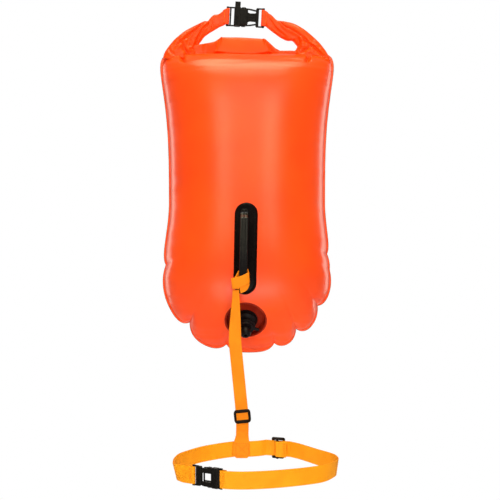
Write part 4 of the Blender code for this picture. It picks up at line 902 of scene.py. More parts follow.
def half_width_at(height_share):
    """Half the bag's width at a share of its half height, before the corners are rounded."""
    if height_share > 0:
        flare = height_share**SHOULDER_FLARE_POWER
        return mixed(WAIST_HALF_WIDTH, SHOULDER_HALF_WIDTH, flare)
    flare = min(1.0, -height_share / BASE_FLARE_SHARE)
    return mixed(WAIST_HALF_WIDTH, BASE_HALF_WIDTH, math.sin(math.pi * flare / 2) ** 2)


def corner_share(height_share):
    power = squareness(height_share)
    return max(0.0, 1 - abs(height_share) ** power) ** (1 / power)


def bulge(x, z):
    """How far a chamber stands out from its seam at a place of the outline's plane."""
    height_share = (z - BAG_MIDDLE_Z) / (BAG_HEIGHT / 2)
    height_share /= 1 - (NECK_SEAM_SHARE if height_share > 0 else BASE_SEAM_SHARE)
    if abs(height_share) >= 1:
        return 0.0
    reach = half_width_at(height_share) * corner_share(height_share) * (1 - SEAM_SHARE)
    side_share = min(1.0, abs(x) / reach)
    side_power, side_root = SIDE_CURVE
    end_power, end_root = TOP_CURVE if height_share > 0 else BASE_CURVE
    across = (1 - side_share**side_power) ** side_root
    along = (1 - abs(height_share) ** end_power) ** end_root
    return CHAMBER_DEPTH * across * along


def surface_y(x, z, facing):
    """The outer face of a chamber away from its rim."""
    return facing * (SKIN_OFFSET + bulge(x, z))


def drawn_share(degrees, width):
    """How much the puckers draw in at an angle from straight down, where a full pucker counts one."""
    return sum(
        share * math.exp(-abs(degrees - middle) / width)
        for middle, share in zip(PUCKER_DEGREES, PUCKER_DEPTH_SHARES)
    )


def pinch_depth(x, z):
    """The short folds from the arms into the shoulders, and the crease under the rolled front."""
    depth = 0.0
    for (top_x, top_z), (foot_x, foot_z) in SHOULDER_PINCHES:
        along = (top_z - z) / (top_z - foot_z)
        if along < 1:
            fade = math.sqrt(1 - max(0.0, along))
            depth += PINCH_DEPTH * fade * hill(x - mixed(top_x, foot_x, along), PINCH_WIDTH)
    across = abs(x - SMILE_MIDDLE_X) / SMILE_HALF_WIDTH
    if across < 1:
        line = SMILE_FOOT_Z + SMILE_RISE * across**2
        fade = 1 - across**SMILE_FADE_POWER
        depth += SMILE_DEPTH * fade * math.exp(-max(0.0, line - z) / SMILE_WIDTH)
    return depth


def seam_wrinkle(x, z, reach):
    """Small ripples in from the side seams."""
    fade = smooth_step(*WRINKLE_START, reach) * (1 - smooth_step(*WRINKLE_END, reach))
    ripple = sum(
        share * noise.noise(Vector((x * across, seed, z * up))) for across, seed, up, share in WRINKLE_NOISES
    )
    return WRINKLE_HEIGHT * fade * ripple


def outline_place(across, up):
    """For a point of the square of -1 to 1: its place in the seam plane, its reach and its angle."""
    reach = max(abs(across), abs(up))
    if reach == 0:
        return 0.0, BAG_MIDDLE_Z, 0.0, 0.0
    power = squareness(up)
    length = math.hypot(across, up)
    rounded = ((abs(across) / length) ** power + (abs(up) / length) ** power) ** (-1 / power)
    ratio = rounded * reach / length
    height_share = up * ratio
    x = across * ratio * half_width_at(height_share)
    z = BAG_MIDDLE_Z + height_share * BAG_HEIGHT / 2
    return x, z, reach, math.degrees(math.atan2(across, -up))


def drawn_in(x, z, reach, degrees):
    """The point moved towards the bag's middle by the puckers of its rim."""
    drawn = PUCKER_DEPTH * drawn_share(degrees, PUCKER_WIDTH_DEGREES) * reach**PUCKER_REACH_POWER
    shrink = 1 - drawn / max(math.hypot(x, z - BAG_MIDDLE_Z), drawn + GAP)
    return x * shrink, BAG_MIDDLE_Z + (z - BAG_MIDDLE_Z) * shrink


def spaced(share):
    """A grid line's place, closer together near the rim."""
    return mixed(math.sin(math.pi * share / 2), share, EVEN_SPACING_SHARE)


def make_skin(side, facing):
    """The outer panel of a chamber, with its wrinkles, its creases and the puckers of its rim."""

    def skin_point(across, up):
        x, z, reach, degrees = outline_place(spaced(across), spaced(up))
        depth = bulge(x, z)
        fade = smooth_step(CREASE_START_SHARE, CREASE_FULL_SHARE, reach)
        depth *= 1 - CREASE_DEPTH_SHARE * fade * min(1.0, drawn_share(degrees, CREASE_WIDTH_DEGREES))
        depth += seam_wrinkle(x, z, reach)
        depth = max(0.0, depth - pinch_depth(x, z))
        x, z = drawn_in(x, z, reach, degrees)
        return (x, facing * (SKIN_OFFSET + depth), z)

    skin = sheet(f"{side}_chamber_skin", SKIN_COLUMNS, SKIN_ROWS, skin_point, FABRIC)
    add_shell(skin, SKIN_THICKNESS)
    apply_modifiers(skin)
    return skin


def make_liner(side, facing):
    """The flat inner wall of a chamber, inside the weld."""

    def liner_point(across, up):
        x, z = drawn_in(*outline_place(across * LINER_SHARE, up * LINER_SHARE))
        return (x, facing * LINER_OFFSET, z)

    liner = sheet(f"{side}_liner_sheet", LINER_COLUMNS, LINER_ROWS, liner_point, LINING)
    add_shell(liner, LINER_THICKNESS)
    place_piece(liner, "buoy", "inner_film", f"{side}_liner")


def square_ring(count):
    """Points round the square of -1 to 1, starting at its lower left corner."""
    ring = []
    for across, up, step_across, step_up in ((-1, -1, 1, 0), (1, -1, 0, 1), (1, 1, -1, 0), (-1, 1, 0, -1)):
        for step in range(count):
            share = spaced(2 * step / count - 1) + 1
            ring.append((across + step_across * share, up + step_up * share))
    return ring


def make_flange():
    """The flat weld between the two chambers, all round the bag, with a slight wave."""
    bands = []
    for band in range(FLANGE_BANDS + 1):
        share = mixed(FLANGE_INNER_SHARE, 1.0, band / FLANGE_BANDS)
        wave = FLANGE_WAVE * smooth_step(FLANGE_WAVE_START_SHARE, 1.0, share)
        row = []
        for across, up in square_ring(FLANGE_STEPS):
            x, z = drawn_in(*outline_place(across * share, up * share))
            ripple = noise.noise(Vector((x * FLANGE_WAVE_SCALE, 0.0, z * FLANGE_WAVE_SCALE)))
            row.append(Vector((x, wave * ripple, z)))
        bands.append(row)
    flange = loft("weld_flange", bands, WELD_WITH_PAINTED_SHADE, capped=False)
    add_shell(flange, FLANGE_THICKNESS)
    place_piece(flange, "buoy", "orange_fabric")
    make_cut_edge(bands[-1])


def make_cut_edge(path):
    """The round edge of the weld, along a closed path."""
    rings = []
    for point, along in zip(path, directions([path[-1], *path, path[0]])[1:-1]):
        side = along.cross(Vector((0.0, 1.0, 0.0))).normalized()
        out = side.cross(along.normalized())
        rings.append(
            [
                point + CUT_EDGE_RADIUS * (math.cos(angle) * side + math.sin(angle) * out)
                for angle in angles(CUT_EDGE_SIDES)
            ]
        )
    edge = loft("weld_cut_edge", [*rings, rings[0]], CUT_EDGE, capped=False)
    place_piece(edge, "buoy", "orange_fabric")


# Rolled top


def make_roll():
    """The rolled neck between the arms: a flat front with folded corners, lower towards the right."""
    stations = []
    for start, end in zip(ROLL_STATIONS, ROLL_STATIONS[1:]):
        for step in range(ROLL_STEPS):
            stations.append([mixed(low, high, step / ROLL_STEPS) for low, high in zip(start, end)])
    stations.append(ROLL_STATIONS[-1])
    sag_x, sag_y, sag_z = ROLL_SAG_SCALES
    crumple_x, crumple_z = ROLL_CRUMPLE_SCALES
    rings = []
    for top_x, foot_x, top_z, foot_z, top_half, foot_half in stations:
        ring = []
        for angle in angles(ROLL_SIDES):
            rise = (signed_power(math.sin(angle), ROLL_EDGE_POWER) + 1) / 2
            x = mixed(foot_x, top_x, rise)
            y = mixed(foot_half, top_half, rise) * signed_power(math.cos(angle), ROLL_EDGE_POWER)
            z = mixed(foot_z, top_z, rise)
            sag = ROLL_SAG * noise.noise(Vector((x * sag_x, y * sag_y, z * sag_z)))
            crumple = noise.noise(Vector((x * crumple_x, ROLL_CRUMPLE_SEED, z * crumple_z)))
            crumple *= ROLL_CRUMPLE * smooth_step(*ROLL_CRUMPLE_X, abs(x))
            ring.append(Vector((x, y + math.copysign(crumple + sag, y), z + sag)))
        rings.append(ring)
    roll = loft("rolled_neck", rings, ROLLED)
    place_piece(roll, "buoy", "orange_fabric", "roll_top_middle", "closure_stiffener")


def catmull(points, steps):
    """Points of a smooth curve through lists of numbers, with the given steps between each two."""
    ends = [points[0], *points, points[-1]]
    route = []
    for numbers in zip(ends, ends[1:], ends[2:], ends[3:]):
        for step in range(steps):
            share = step / steps
            place = []
            for a, b, c, d in zip(*numbers):
                curve = (2 * a - 5 * b + 4 * c - d) * share**2 + (3 * b - a - 3 * c + d) * share**3
                place.append((2 * b + (c - a) * share + curve) / 2)
            route.append(place)
    route.append(list(points[-1]))
    return route


def fold_line(places, along):
    """Where a fold runs across its arm, and how strong it is there, or nothing past its ends."""
    first, last = places[0][0], places[-1][0]
    if not first < along < last:
        return None
    strength = math.sin(math.pi * (along - first) / (last - first)) ** FOLD_FADE_POWER
    for (start, start_across), (end, end_across) in zip(places, places[1:]):
        if along <= end:
            return mixed(start_across, end_across, (along - start) / (end - start)), strength


def arm_fold(along, across, folds, seed):
    """How far an arm's skin stands in or out: sharp grooves with a lip beside them, and crumples."""
    height = 0.0
    for places, depth, width, lip, side in folds:
        found = fold_line(places, along)
        if found:
            line, strength = found
            away = across - line
            height -= depth * strength * math.exp(-abs(away) / width)
            height += lip * strength * hill(away - LIP_PLACE_SHARE * side * width, LIP_WIDTH_SHARE * width)
    along_scale, across_scale = ARM_CRUMPLE_SCALES
    crumple = noise.noise(Vector((along * along_scale, across * across_scale, seed)))
    height += ARM_CRUMPLE * crumple * smooth_step(*ARM_CRUMPLE_START, along)
    along_scale, across_scale = ARM_CREASE_SCALES
    crease = noise.noise(Vector((along * along_scale, across * across_scale, seed + ARM_CREASE_SEED)))
    return height + ARM_CREASE * (1 - 2 * abs(crease)) * smooth_step(*ARM_CREASE_START, along)


def make_arm(name, stations, folds, seed):
    """One end of the roll, flattened and drawn up from the shoulder to the buckle."""
    route = catmull([(*outer, *inner, half) for outer, inner, half in stations], ARM_STEPS)
    rings = []
    for index, (outer_x, outer_z, inner_x, inner_z, half) in enumerate(route):
        along = index / (len(route) - 1)
        outer = Vector((outer_x, 0.0, outer_z))
        inner = Vector((inner_x, 0.0, inner_z))
        ring = []
        for angle in angles(ARM_COLUMNS):
            across = signed_power(math.cos(angle), ARM_BREADTH_POWER)
            facing = math.copysign(1.0, math.sin(angle))
            edge_fade = abs(math.sin(angle)) ** ARM_EDGE_POWER
            depth = half * (1 + ARM_THICK_SHARE * across) * abs(math.sin(angle)) ** ARM_DEPTH_POWER
            depth += arm_fold(along, across, folds, seed + ARM_SIDE_SEED * facing) * edge_fade
            depth = max(depth, ARM_LEAST_SHARE * half * edge_fade)
            point = (outer + inner) / 2 + (outer - inner) / 2 * across
            ring.append(point + Vector((0.0, facing * depth, 0.0)))
        rings.append(ring)
    return loft(name, rings, ROLLED)


def make_arms():
    left_seed, right_seed = ARM_SEEDS
    left = make_arm("left_arm_fabric", LEFT_ARM_STATIONS, LEFT_ARM_FOLDS, left_seed)
    place_piece(left, "buoy", "orange_fabric", "left_roll_arm")
    right = make_arm("right_arm_fabric", RIGHT_ARM_STATIONS, RIGHT_ARM_FOLDS, right_seed)
    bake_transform(right)
    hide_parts("right_roll_arm")


# Webbing


def web_profile():
    """Points round a web's section, as shares of its half width and half thickness."""
    upper = [(-share, height) for share, height in WEB_HALF_PROFILE]
    upper += [(share, height) for share, height in reversed(WEB_HALF_PROFILE[:-1])]
    return upper + [(share, -height) for share, height in reversed(upper[1:-1])]


WEB_PROFILE = web_profile()


def strip(name, path, across, spans, material, cups=None):
    """A flat web along a path, reaching below and above it along across, as spans says.

    Across is one direction or one for each point, spans a pair or one for each point, and cups how far the
    web's edges stand towards the front at each point.
    """
    sides = across if isinstance(across, list) else [Vector(across)] * len(path)
    spans = spans if isinstance(spans, list) else [spans] * len(path)
    cups = cups or [0.0] * len(path)
    rings = []
    places = []
    distance = 0.0
    for index, (point, along) in enumerate(zip(path, directions(path))):
        side = sides[index].normalized()
        normal = along.cross(side).normalized()
        low, high = spans[index]
        middle, half = (low + high) / 2, (high - low) / 2
        distance += (point - path[max(0, index - 1)]).length
        ring = []
        for share, height in WEB_PROFILE:
            cup = Vector((0.0, FRONT * cups[index] * share**2, 0.0))
            ring.append(point + side * (middle + half * share) + normal * (WEB_THICKNESS / 2 * height) + cup)
            places.append((middle + half * share, distance))
        rings.append(ring)
    band = loft(name, rings, material)
    layer = band.data.uv_layers.new(name="web")
    for corner in band.data.loops:
        layer.data[corner.index].uv = places[corner.vertex_index]
    return band


def hairpin(centre, out, side, radius, steps=HAIRPIN_STEPS):
    """A half turn about a bar, from its side round the far end of out to its other side."""
    centre, out, side = Vector(centre), Vector(out), Vector(side)
    turn = [math.pi * step / steps for step in range(steps + 1)]
    return [centre + side * (radius * math.cos(angle)) + out * (radius * math.sin(angle)) for angle in turn]


def looped_end(bar_x, tail, near, radius, inset=0.0, squeeze=1.0):
    """A web's end about an upright bar: from its tail in front, round the bar, and back behind."""
    sign = math.copysign(1.0, bar_x)
    front = [
        Vector((bar_x + sign * tail, -radius * squeeze, 0.0)),
        Vector((bar_x + sign * near, -radius, 0.0)),
    ]
    turn = hairpin((bar_x - sign * inset, 0.0, 0.0), (-sign, 0.0, 0.0), (0.0, -1.0, 0.0), radius)
    return front + turn + [Vector((point.x, -point.y, 0.0)) for point in reversed(front)]


def smooth_path(points, steps=ROUTE_STEPS):
    return [Vector(place) for place in catmull([tuple(point) for point in points], steps)]


def stitch_rows(name, rows, normal, body):
    """Raised stitches along straight rows, each row given by its two ends."""
    points = []
    faces = []
    normal = Vector(normal).normalized()
    stitch_faces = capped_faces(STITCH_SIDES, len(STITCH_PROFILE))
    for start, end in rows:
        start, end = Vector(start), Vector(end)
        along = (end - start).normalized()
        side = along.cross(normal) * STITCH_BREADTH_SHARE
        count = max(1, round((end - start).length / (STITCH_LENGTH * STITCH_PITCH_SHARE)))
        for index in range(count):
            middle = start.lerp(end, (index + 0.5) / count)
            faces += [tuple(len(points) + corner for corner in face) for face in stitch_faces]
            for share, size in STITCH_PROFILE:
                centre = middle + along * (STITCH_LENGTH / 2 * share)
                for step in range(STITCH_SIDES):
                    angle = math.pi * step / (STITCH_SIDES - 1)
                    out = side * math.cos(angle) + normal * math.sin(angle)
                    points.append(centre + out * (STITCH_RADIUS * size))
    place_piece(mesh_piece(name, points, faces, STITCH), body, "yellow_webbing")


def frame_of(place, axis, degrees):
    return Matrix.Translation(place) @ Matrix.Rotation(math.radians(degrees), 4, axis)


WHISTLE_FRAME = frame_of(WHISTLE_PLACE, "Y", WHISTLE_TILT_DEGREES)
BELT_FRAME = frame_of(BELT_BUCKLE_PLACE, "Z", BELT_BUCKLE_YAW_DEGREES)
BELT_SLIDER_FRAME = frame_of((*BELT_SLIDER_PLACE, BELT_Z), "Z", BELT_SLIDER_YAW_DEGREES)


def upright_row(turn, x, y, low_z, high_z):
    """The two ends of an upright row of stitches in a frame."""
    return turn @ Vector((x, y, low_z)), turn @ Vector((x, y, high_z))


def make_tab(name, sign, body, node):
    """The end of an arm, folded round the buckle's end bar and sewn."""
    bar = sign * (WHISTLE_HALF_LENGTH - BAR_WIDTH / 2)
    local = looped_end(bar, TAB_TAIL, TAB_NEAR, TAB_LOOP_RADIUS, TAB_LOOP_INSET, TAB_SQUEEZE)
    half = WHISTLE_HALF_HEIGHT - RAIL_HEIGHT - GAP
    low_taper, high_taper = TAB_TAPERS
    spans = []
    for point in local:
        outward = max(0.0, sign * (point.x - bar)) / TAB_TAIL
        spans.append((-half + low_taper * outward, half - high_taper * outward))
    up = WHISTLE_FRAME.to_3x3() @ Vector((0.0, 0.0, 1.0))
    tab = strip(name, [WHISTLE_FRAME @ point for point in local], up, spans, ROLLED)
    place_piece(tab, body, "orange_fabric", node)
    row_x = bar + sign * TAB_TAIL * TAB_THREAD_SHARE
    low_inset, high_inset = TAB_THREAD_INSETS
    row = upright_row(WHISTLE_FRAME, row_x, -TAB_THREAD_STAND, -half + low_inset, half - high_inset)
    stitch_rows(f"{name}_thread", [row], (0.0, -1.0, 0.0), body)


# Buckles


def end_frame(turn, end_x, start_x, half_height, inner_bars=()):
    """The rails and bars at one end of a buckle, with small ears at its corners."""
    pieces = []
    low_x, high_x = sorted((start_x, end_x))
    bar_x = end_x - math.copysign(BAR_WIDTH, end_x)
    ear_low, ear_high = sorted((end_x, end_x - math.copysign(EAR_LENGTH, end_x)))
    for up in (1, -1):
        low, high = sorted((up * (half_height - RAIL_HEIGHT), up * half_height))
        rail = box_piece("rail", (low_x, -BAR_HALF, low), (high_x, BAR_HALF, high), PLASTIC, turn)
        round_edges(rail, RAIL_HEIGHT / 4)
        low_corner = (ear_low, -EAR_HALF, low - EAR_MARGIN)
        high_corner = (ear_high, EAR_HALF, high + EAR_MARGIN)
        ear = box_piece("ear", low_corner, high_corner, PLASTIC, turn)
        round_edges(ear, RAIL_HEIGHT / 3, FINE_SEGMENTS)
        pieces += [rail, ear]
    reach = half_height - BAR_END_INSET
    for low, high in (sorted((bar_x, end_x)), *inner_bars):
        bar = box_piece("bar", (low, -BAR_HALF, -reach), (high, BAR_HALF, reach), PLASTIC, turn)
        round_edges(bar, BAR_HALF / 2, FINE_SEGMENTS)
        pieces.append(bar)
    return pieces


def body_plate(name, half_outline, half_thickness, turn, cuts=()):
    """A rounded plate from the upper half of its outline, with boxes cut out of it."""
    lower = [(x, -z) for x, z in reversed(half_outline[1:-1])]
    body = plate(name, [*half_outline, *lower], -half_thickness, half_thickness, PLASTIC, turn)
    round_edges(body, BODY_ROUNDING, FINE_SEGMENTS, BODY_ROUNDING_DEGREES)
    apply_modifiers(body)
    for box in cuts:
        cut_from(body, box_piece("cutter", *box, PLASTIC, turn))
    return body


def rib(turn, low, high):
    """A low rounded rib between two opposite corners."""
    piece = box_piece("rib", low, high, PLASTIC, turn)
    round_edges(piece, min(high[0] - low[0], high[2] - low[2]) / 3, FINE_SEGMENTS)
    return piece


def face_ribs(turn, half, face, spans):
    """Ribs on both faces of a body, which stand out and reach in as face says."""
    stand, sink = face
    return [
        rib(turn, (low_x, low_y, low_z), (high_x, high_y, high_z))
        for low_x, high_x, low_z, high_z in spans
        for low_y, high_y in ((-half - stand, -half + sink), (half - sink, half + stand))
    ]


def make_socket(name, turn, half_outline, half, cavity_x, window):
    """The female half's body, with its cavity and window, and half the thickness of that cavity."""
    cavity_half = half - BUCKLE_WALL
    cavity = ((cavity_x, -cavity_half, -CUT_REACH), (CUT_REACH, cavity_half, CUT_REACH))
    return body_plate(name, half_outline, half, turn, (cavity, window)), cavity_half


def make_whistle_buckle():
    turn = WHISTLE_FRAME
    half = WHISTLE_HALF_THICKNESS
    body, cavity_half = make_socket(
        "socket_body", turn, WHISTLE_BODY_HALF_OUTLINE, half, WHISTLE_CAVITY_X, WHISTLE_WINDOW
    )
    socket_start, plug_start = WHISTLE_FRAME_STARTS
    pieces = [body]
    pieces += end_frame(turn, -WHISTLE_HALF_LENGTH, socket_start, WHISTLE_HALF_HEIGHT, (WHISTLE_INNER_BAR,))
    pieces += face_ribs(turn, half, WHISTLE_RIDGE_FACE, WHISTLE_RIDGES)
    pieces += face_ribs(turn, half, WHISTLE_PANEL_FACE, WHISTLE_PANELS)
    place_piece(joined("whistle_socket_detail", pieces), "buoy", "black_plastic", "whistle_socket")
    plug_half = cavity_half - GAP
    base = body_plate("plug_base", WHISTLE_BASE_HALF_OUTLINE, plug_half + WHISTLE_BASE_STAND, turn)
    tongue = body_plate("plug_tongue", WHISTLE_TONGUE_HALF_OUTLINE, plug_half, turn)
    pieces = [base, tongue, *end_frame(turn, WHISTLE_HALF_LENGTH, plug_start, WHISTLE_HALF_HEIGHT)]
    low_x, high_x = TONGUE_RIB_X
    depth = plug_half + TONGUE_RIB_STAND
    for z in TONGUE_RIB_Z:
        pieces.append(rib(turn, (low_x, -depth, z - TONGUE_RIB_HALF), (high_x, depth, z + TONGUE_RIB_HALF)))
    plug = joined("whistle_plug_detail", pieces)
    place_piece(plug, "whistle_buckle_plug", "black_plastic", "whistle_plug")


def make_belt_buckle():
    turn = BELT_FRAME
    half = BELT_BUCKLE_HALF_THICKNESS
    body, cavity_half = make_socket(
        "belt_socket_body", turn, BELT_BODY_HALF_OUTLINE, half, BELT_CAVITY_X, BELT_WINDOW
    )
    socket_start, plug_start = BELT_FRAME_STARTS
    pieces = [body, *end_frame(turn, -BELT_BUCKLE_HALF_LENGTH, socket_start, BELT_BUCKLE_HALF_HEIGHT)]
    pieces += face_ribs(turn, half, BELT_RIDGE_FACE, BELT_RIDGES)
    place_piece(joined("belt_socket_detail", pieces), "leash", "black_plastic", "belt_socket")
    plug_half = cavity_half - GAP + BELT_BASE_STAND
    base = body_plate("belt_plug_base", BELT_BASE_HALF_OUTLINE, plug_half, turn)
    pieces = [base, *end_frame(turn, BELT_BUCKLE_HALF_LENGTH, plug_start, BELT_BUCKLE_HALF_HEIGHT)]
    plug = joined("belt_plug_detail", pieces)
    place_piece(plug, "belt_buckle_plug", "black_plastic", "belt_plug")


# Tow patch


def past_straight(z):
    """How far a height lies past the straight sides of the patch, in its round ends."""
    return max(0.0, abs(z - PATCH_MIDDLE_Z) - (PATCH_HEIGHT - PATCH_WIDTH) / 2)


def patch_height(x, z):
    """How far the patch's face stands off the chamber: a thin hem, a round rim and a flat field."""
    inward = PATCH_WIDTH / 2 - math.hypot(x - PATCH_X, past_straight(z))
    hem = PATCH_HEM_HEIGHT * smooth_step(0.0, PATCH_HEM_WIDTH, inward)
    rim = PATCH_RIM_HEIGHT * hill(inward - PATCH_RIM_PLACE, PATCH_RIM_WIDTH)
    field = PATCH_FIELD_HEIGHT * smooth_step(PATCH_RIM_PLACE, 2 * PATCH_RIM_PLACE, inward)
    return PATCH_LIFT + hem + rim + field


def make_patch():
    """The patch with round ends, leaned a little, on the front chamber."""

    def patch_point(across, up):
        z = PATCH_MIDDLE_Z + math.sin(math.pi / 2 * up) * PATCH_HEIGHT / 2
        half_width = math.sqrt(max(0.0, (PATCH_WIDTH / 2) ** 2 - past_straight(z) ** 2))
        x = PATCH_X + math.sin(math.pi / 2 * across) * half_width
        leaned = x + PATCH_LEAN * (z - PATCH_MIDDLE_Z)
        return (leaned, surface_y(leaned, z, FRONT) - patch_height(x, z), z)

    patch = sheet("tow_patch", PATCH_COLUMNS, PATCH_ROWS, patch_point, RUBBER)
    place_piece(patch, "buoy", "patch_rubber", "leash_patch")


def strap_path():
    """The middle of the strap, laid on the patch at both ends and standing off between."""
    stations = []
    for z, behind in STRAP_STATIONS:
        if behind is None:
            y = surface_y(STRAP_X, z, FRONT) - PATCH_LIFT - PATCH_THICKNESS - STRAP_SEAT
        else:
            y = STRAP_Y + behind
        stations.append((STRAP_X, y, z))
    lean = Vector((PATCH_LEAN, 0.0, 0.0))
    return [point + lean * (point.z - PATCH_MIDDLE_Z) for point in smooth_path(stations)]


def make_strap():
    """The strap: three ribs along a flat band, with round ends."""
    path = strap_path()
    rings = []
    for point, along in zip(path, directions(path)):
        out = along.cross(Vector((1.0, 0.0, 0.0))).normalized()
        if out.y > 0:
            out = -out
        end = min(point.z - path[-1].z, path[0].z - point.z)
        half = STRAP_WIDTH / 2 * math.sqrt(smooth_step(*STRAP_END_ROUNDING, end))
        front = []
        back = []
        for column in range(STRAP_COLUMNS):
            share = 2 * column / (STRAP_COLUMNS - 1) - 1
            ribs = sum(hill(share - place, STRAP_RIB_WIDTH) for place in STRAP_RIB_PLACES)
            edge = math.sqrt(max(0.0, 1 - abs(share) ** STRAP_EDGE_POWER))
            across = point + Vector((half * share, 0.0, 0.0))
            front.append(across + out * (edge * (STRAP_THICKNESS / 2 + STRAP_RIB_HEIGHT * ribs)))
            back.append(across - out * (edge * STRAP_THICKNESS / 2))
        rings.append(front + back[::-1])
    place_piece(loft("tow_strap", rings, STRAP), "buoy", "patch_rubber", "patch_strap")


def make_rivets():
    """The two rivet heads at the strap's upper end."""
    rivets = []
    for x in RIVET_XS:
        face = surface_y(x, RIVET_Z, FRONT) - PATCH_LIFT - PATCH_THICKNESS - STRAP_SEAT - STRAP_THICKNESS / 2
        rings = [
            [
                Vector((x + radius * math.cos(angle), face - depth, RIVET_Z + radius * math.sin(angle)))
                for angle in angles(RIVET_SIDES)
            ]
            for radius, depth in RIVET_PROFILE
        ]
        rivets.append(loft("rivet", rings, RUBBER))
    place_piece(joined("strap_rivets", rivets), "buoy", "patch_rubber")


# Leash


def leash_x(z):
    """The middle of the leash: a little to the right at its neck, then slanting to its slider."""
    slider_x, slider_z = LEASH_SLIDER_PLACE
    drawn = LEASH_NECK_SHIFT * (1 - smooth_step(-LEASH_HINGE_Z, -LEASH_BEND_Z, -z))
    share = min(max(0.0, (LEASH_BEND_Z - z) / (LEASH_BEND_Z - slider_z)), 1.0)
    return LEASH_TOP_X + drawn + (slider_x - LEASH_TOP_X) * share


def leash_spread(z):
    """How far the leash has spread to its full width below the hitch that draws it together."""
    return smooth_step(-LEASH_HINGE_Z, -LEASH_HINGE_Z + LEASH_SPREAD_LENGTH, -z)


def leash_section(z):
    """The reach of the leash to its left and right at a height, and how far its edges stand forward."""
    half = mixed(LEASH_NECK_WIDTH, LEASH_WIDTH, leash_spread(z) ** LEASH_SPREAD_POWER) / 2
    flare_start, flare_end = LEASH_END_FLARE
    belt_top, belt_foot = BELT_Z + BELT_WIDTH / 2, BELT_Z - BELT_WIDTH / 2
    flare = smooth_step(flare_start - belt_top, flare_end - belt_top, -z)
    taper_start, taper_end = LEASH_FOOT_TAPER
    foot = smooth_step(taper_start - belt_foot, taper_end - belt_foot, -z)
    span = []
    for side, end, foot_share in zip((-1, 1), LEASH_END_SPAN, LEASH_FOOT_SHARES):
        reach = mixed(side * half, end, flare)
        span.append(mixed(reach, foot_share * reach, foot))
    return span, LEASH_CUP * (1 - leash_spread(z))


def heights(high, low, step):
    count = max(1, round((high - low) / step))
    return [mixed(high, low, index / count) for index in range(count + 1)]


def leash_path():
    """From the slider up in front, round the hitch's foot, down behind, and round the belt's lower edge."""
    slider_foot = LEASH_SLIDER_PLACE[1] - LEASH_SLIDER_LENGTH / 2 - GAP
    slant_end = slider_foot - LEASH_SLANT_DROP
    start = LEASH_HINGE_Z - LEASH_STRAIGHT_DROP
    layers = []
    for y, low in ((LEASH_Y - LEASH_LAYER_OFFSET, slider_foot), (LEASH_Y + LEASH_LAYER_OFFSET, slant_end)):
        layers.append([Vector((leash_x(z), y, z)) for z in heights(start, low, LEASH_STEP)])
    front, down = layers
    top = (leash_x(LEASH_HINGE_Z), LEASH_Y, LEASH_HINGE_Z)
    turn = hairpin(top, (0, 0, 1), (0, -1, 0), LEASH_LAYER_OFFSET, LEASH_TURN_STEPS)
    before_y = BELT_JOIN_Y - WEB_THICKNESS - GAP
    belt_top, belt_foot = BELT_Z + BELT_WIDTH / 2, BELT_Z - BELT_WIDTH / 2
    laid = [
        (LEASH_END_X, before_y - LEASH_END_STAND, z) for z in (belt_top - LEASH_LAID_DROP, BELT_Z, belt_foot)
    ]
    corner = (LEASH_END_X, LEASH_Y + LEASH_LAYER_OFFSET, slant_end - LEASH_CORNER_DROP)
    landing = (LEASH_END_X, before_y - LEASH_START_STAND, belt_top + LEASH_START_RISE)
    end = smooth_path([corner, landing, *laid], LEASH_END_STEPS)
    foot = (LEASH_END_X, BELT_JOIN_Y, belt_foot)
    hem_radius = WEB_THICKNESS + GAP + LEASH_HEM_CLEARANCE
    hem = hairpin(foot, (0, 0, -1), (0, -1, 0), hem_radius, LEASH_TURN_STEPS)
    tail_y = BELT_JOIN_Y + WEB_THICKNESS + GAP
    tail = [Vector((LEASH_END_X, tail_y, z)) for z in (BELT_Z - LEASH_TAIL_DROP, BELT_Z)]
    return front[::-1] + turn[1:-1] + down + end + hem[1:] + tail


def make_leash():
    path = leash_path()
    spans, cups = zip(*(leash_section(point.z) for point in path))
    web = strip("leash_webbing", path, (1.0, 0.0, 0.0), list(spans), SHADED_LEASH_WEBBING, cups)
    place_piece(web, "leash", "yellow_webbing", "leash_web")
    face = BELT_JOIN_Y - WEB_THICKNESS - GAP - LEASH_END_STAND - WEB_THICKNESS / 2
    left, right = (LEASH_END_X + reach for reach in LEASH_THREAD_SPAN)
    low, high = BELT_Z - LEASH_THREAD_HALF_HEIGHT, BELT_Z + LEASH_THREAD_HALF_HEIGHT
    low_left, low_right, high_right, high_left = (
        (x, face, z) for x, z in ((left, low), (right, low), (right, high), (left, high))
    )
    rows = [
        (low_left, low_right),
        (low_right, high_right),
        (high_right, high_left),
        (high_left, low_left),
        (low_left, high_right),
        (high_left, low_right),
    ]
    stitch_rows("leash_end_thread", rows, (0.0, -1.0, 0.0), "leash")


def make_hitch():
    """The girth hitch: a band in front of the strap, one behind and one below it, and two legs."""
    pieces = []
    for name, route, leans, width in HITCH_BANDS:
        ups = [Vector((lean, 0.0, 1.0)) for (lean,) in catmull([(lean,) for lean in leans], HITCH_STEPS)]
        path = smooth_path(route, HITCH_STEPS)
        pieces.append(strip(name, path, ups, (-width / 2, width / 2), SHADED_LEASH_WEBBING))
    leg_foot = LEASH_HINGE_Z + LEASH_CUP + LEASH_LAYER_OFFSET + WEB_THICKNESS / 2 + GAP
    half = LEASH_NECK_WIDTH / 2
    for y in (LEASH_Y - LEASH_LAYER_OFFSET, LEASH_Y + LEASH_LAYER_OFFSET):
        path = [Vector((leash_x(z), y, z)) for z in heights(HITCH_LEG_TOP_Z, leg_foot, HITCH_LEG_STEP)]
        cups = [LEASH_CUP] * len(path)
        pieces.append(strip("hitch_leg", path, (1.0, 0.0, 0.0), (-half, half), SHADED_LEASH_WEBBING, cups))
    place_piece(joined("hitch_webbing", pieces), "buoy", "yellow_webbing", "leash_hitch")


# Sliders


